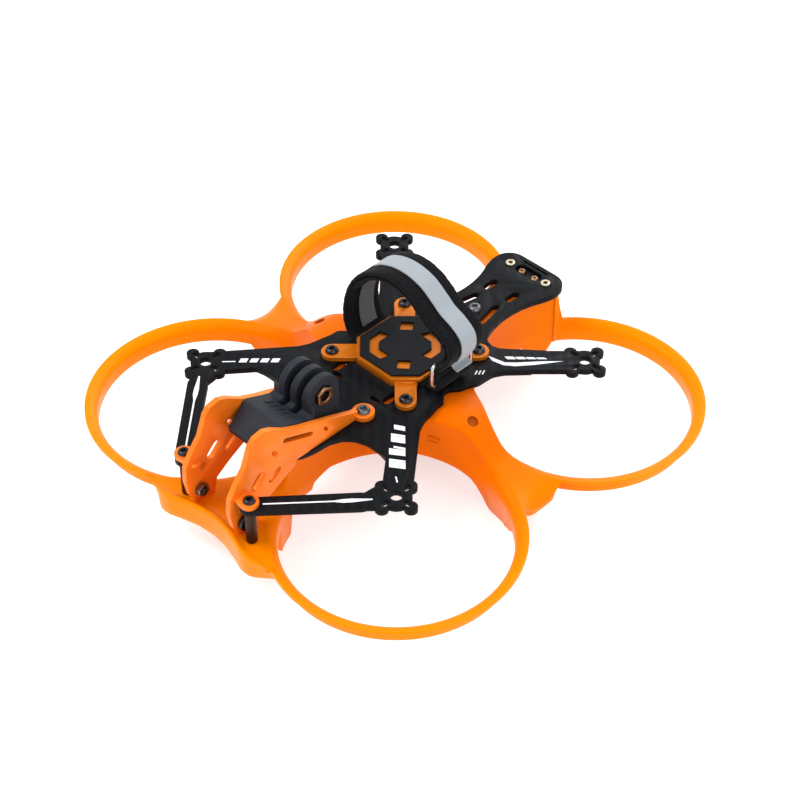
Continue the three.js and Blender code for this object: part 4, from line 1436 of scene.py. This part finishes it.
class QUAD_OT_buckle(bpy.types.Operator):
    """Builds the steel buckle of the strap"""
    bl_idname = "quad.buckle"
    bl_label = "Strap buckle"

    def execute(self, context):
        low, high = BUCKLE_LOW, BUCKLE_HIGH
        x = (low.x + high.x) / 2
        wire = BUCKLE_WIRE
        y0, y1 = low.y + wire, high.y - wire
        z0, z1 = low.z + wire, high.z - wire
        bend = BUCKLE_BEND
        path = []
        for cy, cz, start in ((y1 - bend, z1 - bend, 0), (y0 + bend, z1 - bend, 90),
                              (y0 + bend, z0 + bend, 180), (y1 - bend, z0 + bend, 270)):
            for k in range(7):
                a = math.radians(start + 15 * k)
                path.append(Vector((x, cy + bend * math.cos(a), cz + bend * math.sin(a))))
        rows = []
        for i, place in enumerate(path):
            tangent = (path[(i + 1) % len(path)] - path[i - 1]).normalized()
            side = tangent.cross(Vector((1, 0, 0)))
            row = []
            for k in range(13):
                a = 2 * math.pi * k / 12
                row.append(tuple(place + Vector((1, 0, 0)) * wire * BUCKLE_FLAT * math.cos(a)
                                 + side * wire * math.sin(a)))
            rows.append(row)
        skin = Skin()
        skin.grid(rows, (x, (y0 + y1) / 2, 500), closed=True)
        obj = skin.build("buckle_ring", "plain_steel")
        face_outwards(obj)
        settle(obj, 60.0)
        finish_piece(obj, "steel", "strap_buckle", body="buckle")
        return {"FINISHED"}


# ------------------------------------------------------------------ stage
FLOOR_HALF = 6.0
SKY_STRENGTH = 0.85
# Each lamp's name, place and size in metres, and power in watts.
LAMPS = (("key", (-0.6, -0.5, 1.3), 0.7, 11.0), ("fill", (1.1, -0.2, 0.9), 1.0, 6.0),
         ("back", (-0.3, 1.2, 0.8), 1.0, 9.0))
CAMERA_AZIMUTH, CAMERA_ELEVATION, CAMERA_ROLL = 44.55, 42.28, 0.11
CAMERA_PLACE = (0.41712, -0.42093, 0.55906)
LENS, SENSOR_WIDTH = 85.6, 36.0


class QUAD_OT_stage(bpy.types.Operator):
    """Builds the floor, the lights and the camera"""
    bl_idname = "quad.stage"
    bl_label = "Stage"

    def execute(self, context):
        scene = context.scene
        half = FLOOR_HALF
        mesh = bpy.data.meshes.new("floor")
        mesh.from_pydata([(-half, -half, 0), (half, -half, 0), (half, half, 0), (-half, half, 0)],
                         [], [(0, 1, 2, 3)])
        mesh.materials.append(material("pale_floor"))
        floor = add_object("floor", mesh)
        world = bpy.data.worlds.new("studio")
        world.use_nodes = True
        sky = world.node_tree.nodes["Background"]
        sky.inputs["Color"].default_value = (1.0, 1.0, 1.0, 1.0)
        sky.inputs["Strength"].default_value = SKY_STRENGTH
        scene.world = world
        for name, place, size, power in LAMPS:
            light = bpy.data.lights.new(name, "AREA")
            light.size, light.energy = size, power
            lamp = add_object(name, light)
            lamp.location = place
            lamp.rotation_euler = (-Vector(place)).to_track_quat("-Z", "Y").to_euler()
        azimuth, elevation = math.radians(CAMERA_AZIMUTH), math.radians(CAMERA_ELEVATION)
        roll = Matrix.Rotation(math.radians(CAMERA_ROLL), 3, "Z").to_quaternion()
        back = Vector((math.sin(azimuth) * math.cos(elevation),
                       -math.cos(azimuth) * math.cos(elevation), math.sin(elevation)))
        data = bpy.data.cameras.new("camera")
        data.lens, data.sensor_width = LENS, SENSOR_WIDTH
        camera = add_object("camera", data)
        camera.rotation_mode = "QUATERNION"
        camera.rotation_quaternion = back.to_track_quat("Z", "Y") @ roll
        camera.location = CAMERA_PLACE
        data.clip_start = 0.01
        scene.camera = camera
        scene.view_settings.view_transform = "Standard"
        return {"FINISHED"}


class QUAD_PT_panel(bpy.types.Panel):
    """Lists the pieces and their settings"""
    bl_idname = "QUAD_PT_panel"
    bl_label = "Ducted quadcopter"
    bl_space_type = "VIEW_3D"
    bl_region_type = "UI"
    bl_category = "Quadcopter"

    def draw(self, context):
        scene = context.scene
        for group_settings in (scene.quad_guard, scene.quad_plates, scene.quad_strap):
            for key in group_settings.bl_rna.properties.keys():
                if key not in ("rna_type", "name"):
                    self.layout.prop(group_settings, key)
        for operator in OPERATORS:
            self.layout.operator(operator.bl_idname)


OPERATORS = (QUAD_OT_stage, QUAD_OT_duct_guard, QUAD_OT_main_plate, QUAD_OT_markings,
             QUAD_OT_side_plates, QUAD_OT_action_mount, QUAD_OT_bracket, QUAD_OT_pad,
             QUAD_OT_screws, QUAD_OT_posts, QUAD_OT_tail, QUAD_OT_strap, QUAD_OT_buckle)
CLASSES = (GuardSettings, PlateSettings, StrapSettings, *OPERATORS, QUAD_PT_panel)


def register():
    for entry in CLASSES:
        bpy.utils.register_class(entry)
    bpy.types.Scene.quad_guard = bpy.props.PointerProperty(type=GuardSettings)
    bpy.types.Scene.quad_plates = bpy.props.PointerProperty(type=PlateSettings)
    bpy.types.Scene.quad_strap = bpy.props.PointerProperty(type=StrapSettings)


def unregister():
    del bpy.types.Scene.quad_guard
    del bpy.types.Scene.quad_plates
    del bpy.types.Scene.quad_strap
    for entry in reversed(CLASSES):
        bpy.utils.unregister_class(entry)


def main():
    register()
    bpy.ops.quad.stage()
    bpy.ops.quad.duct_guard()
    bpy.ops.quad.main_plate()
    bpy.ops.quad.markings()
    bpy.ops.quad.side_plates()
    bpy.ops.quad.action_mount()
    bpy.ops.quad.bracket()
    bpy.ops.quad.pad()
    bpy.ops.quad.screws()
    bpy.ops.quad.posts()
    bpy.ops.quad.tail()
    bpy.ops.quad.strap()
    bpy.ops.quad.buckle()


if __name__ == "__main__":
    main()
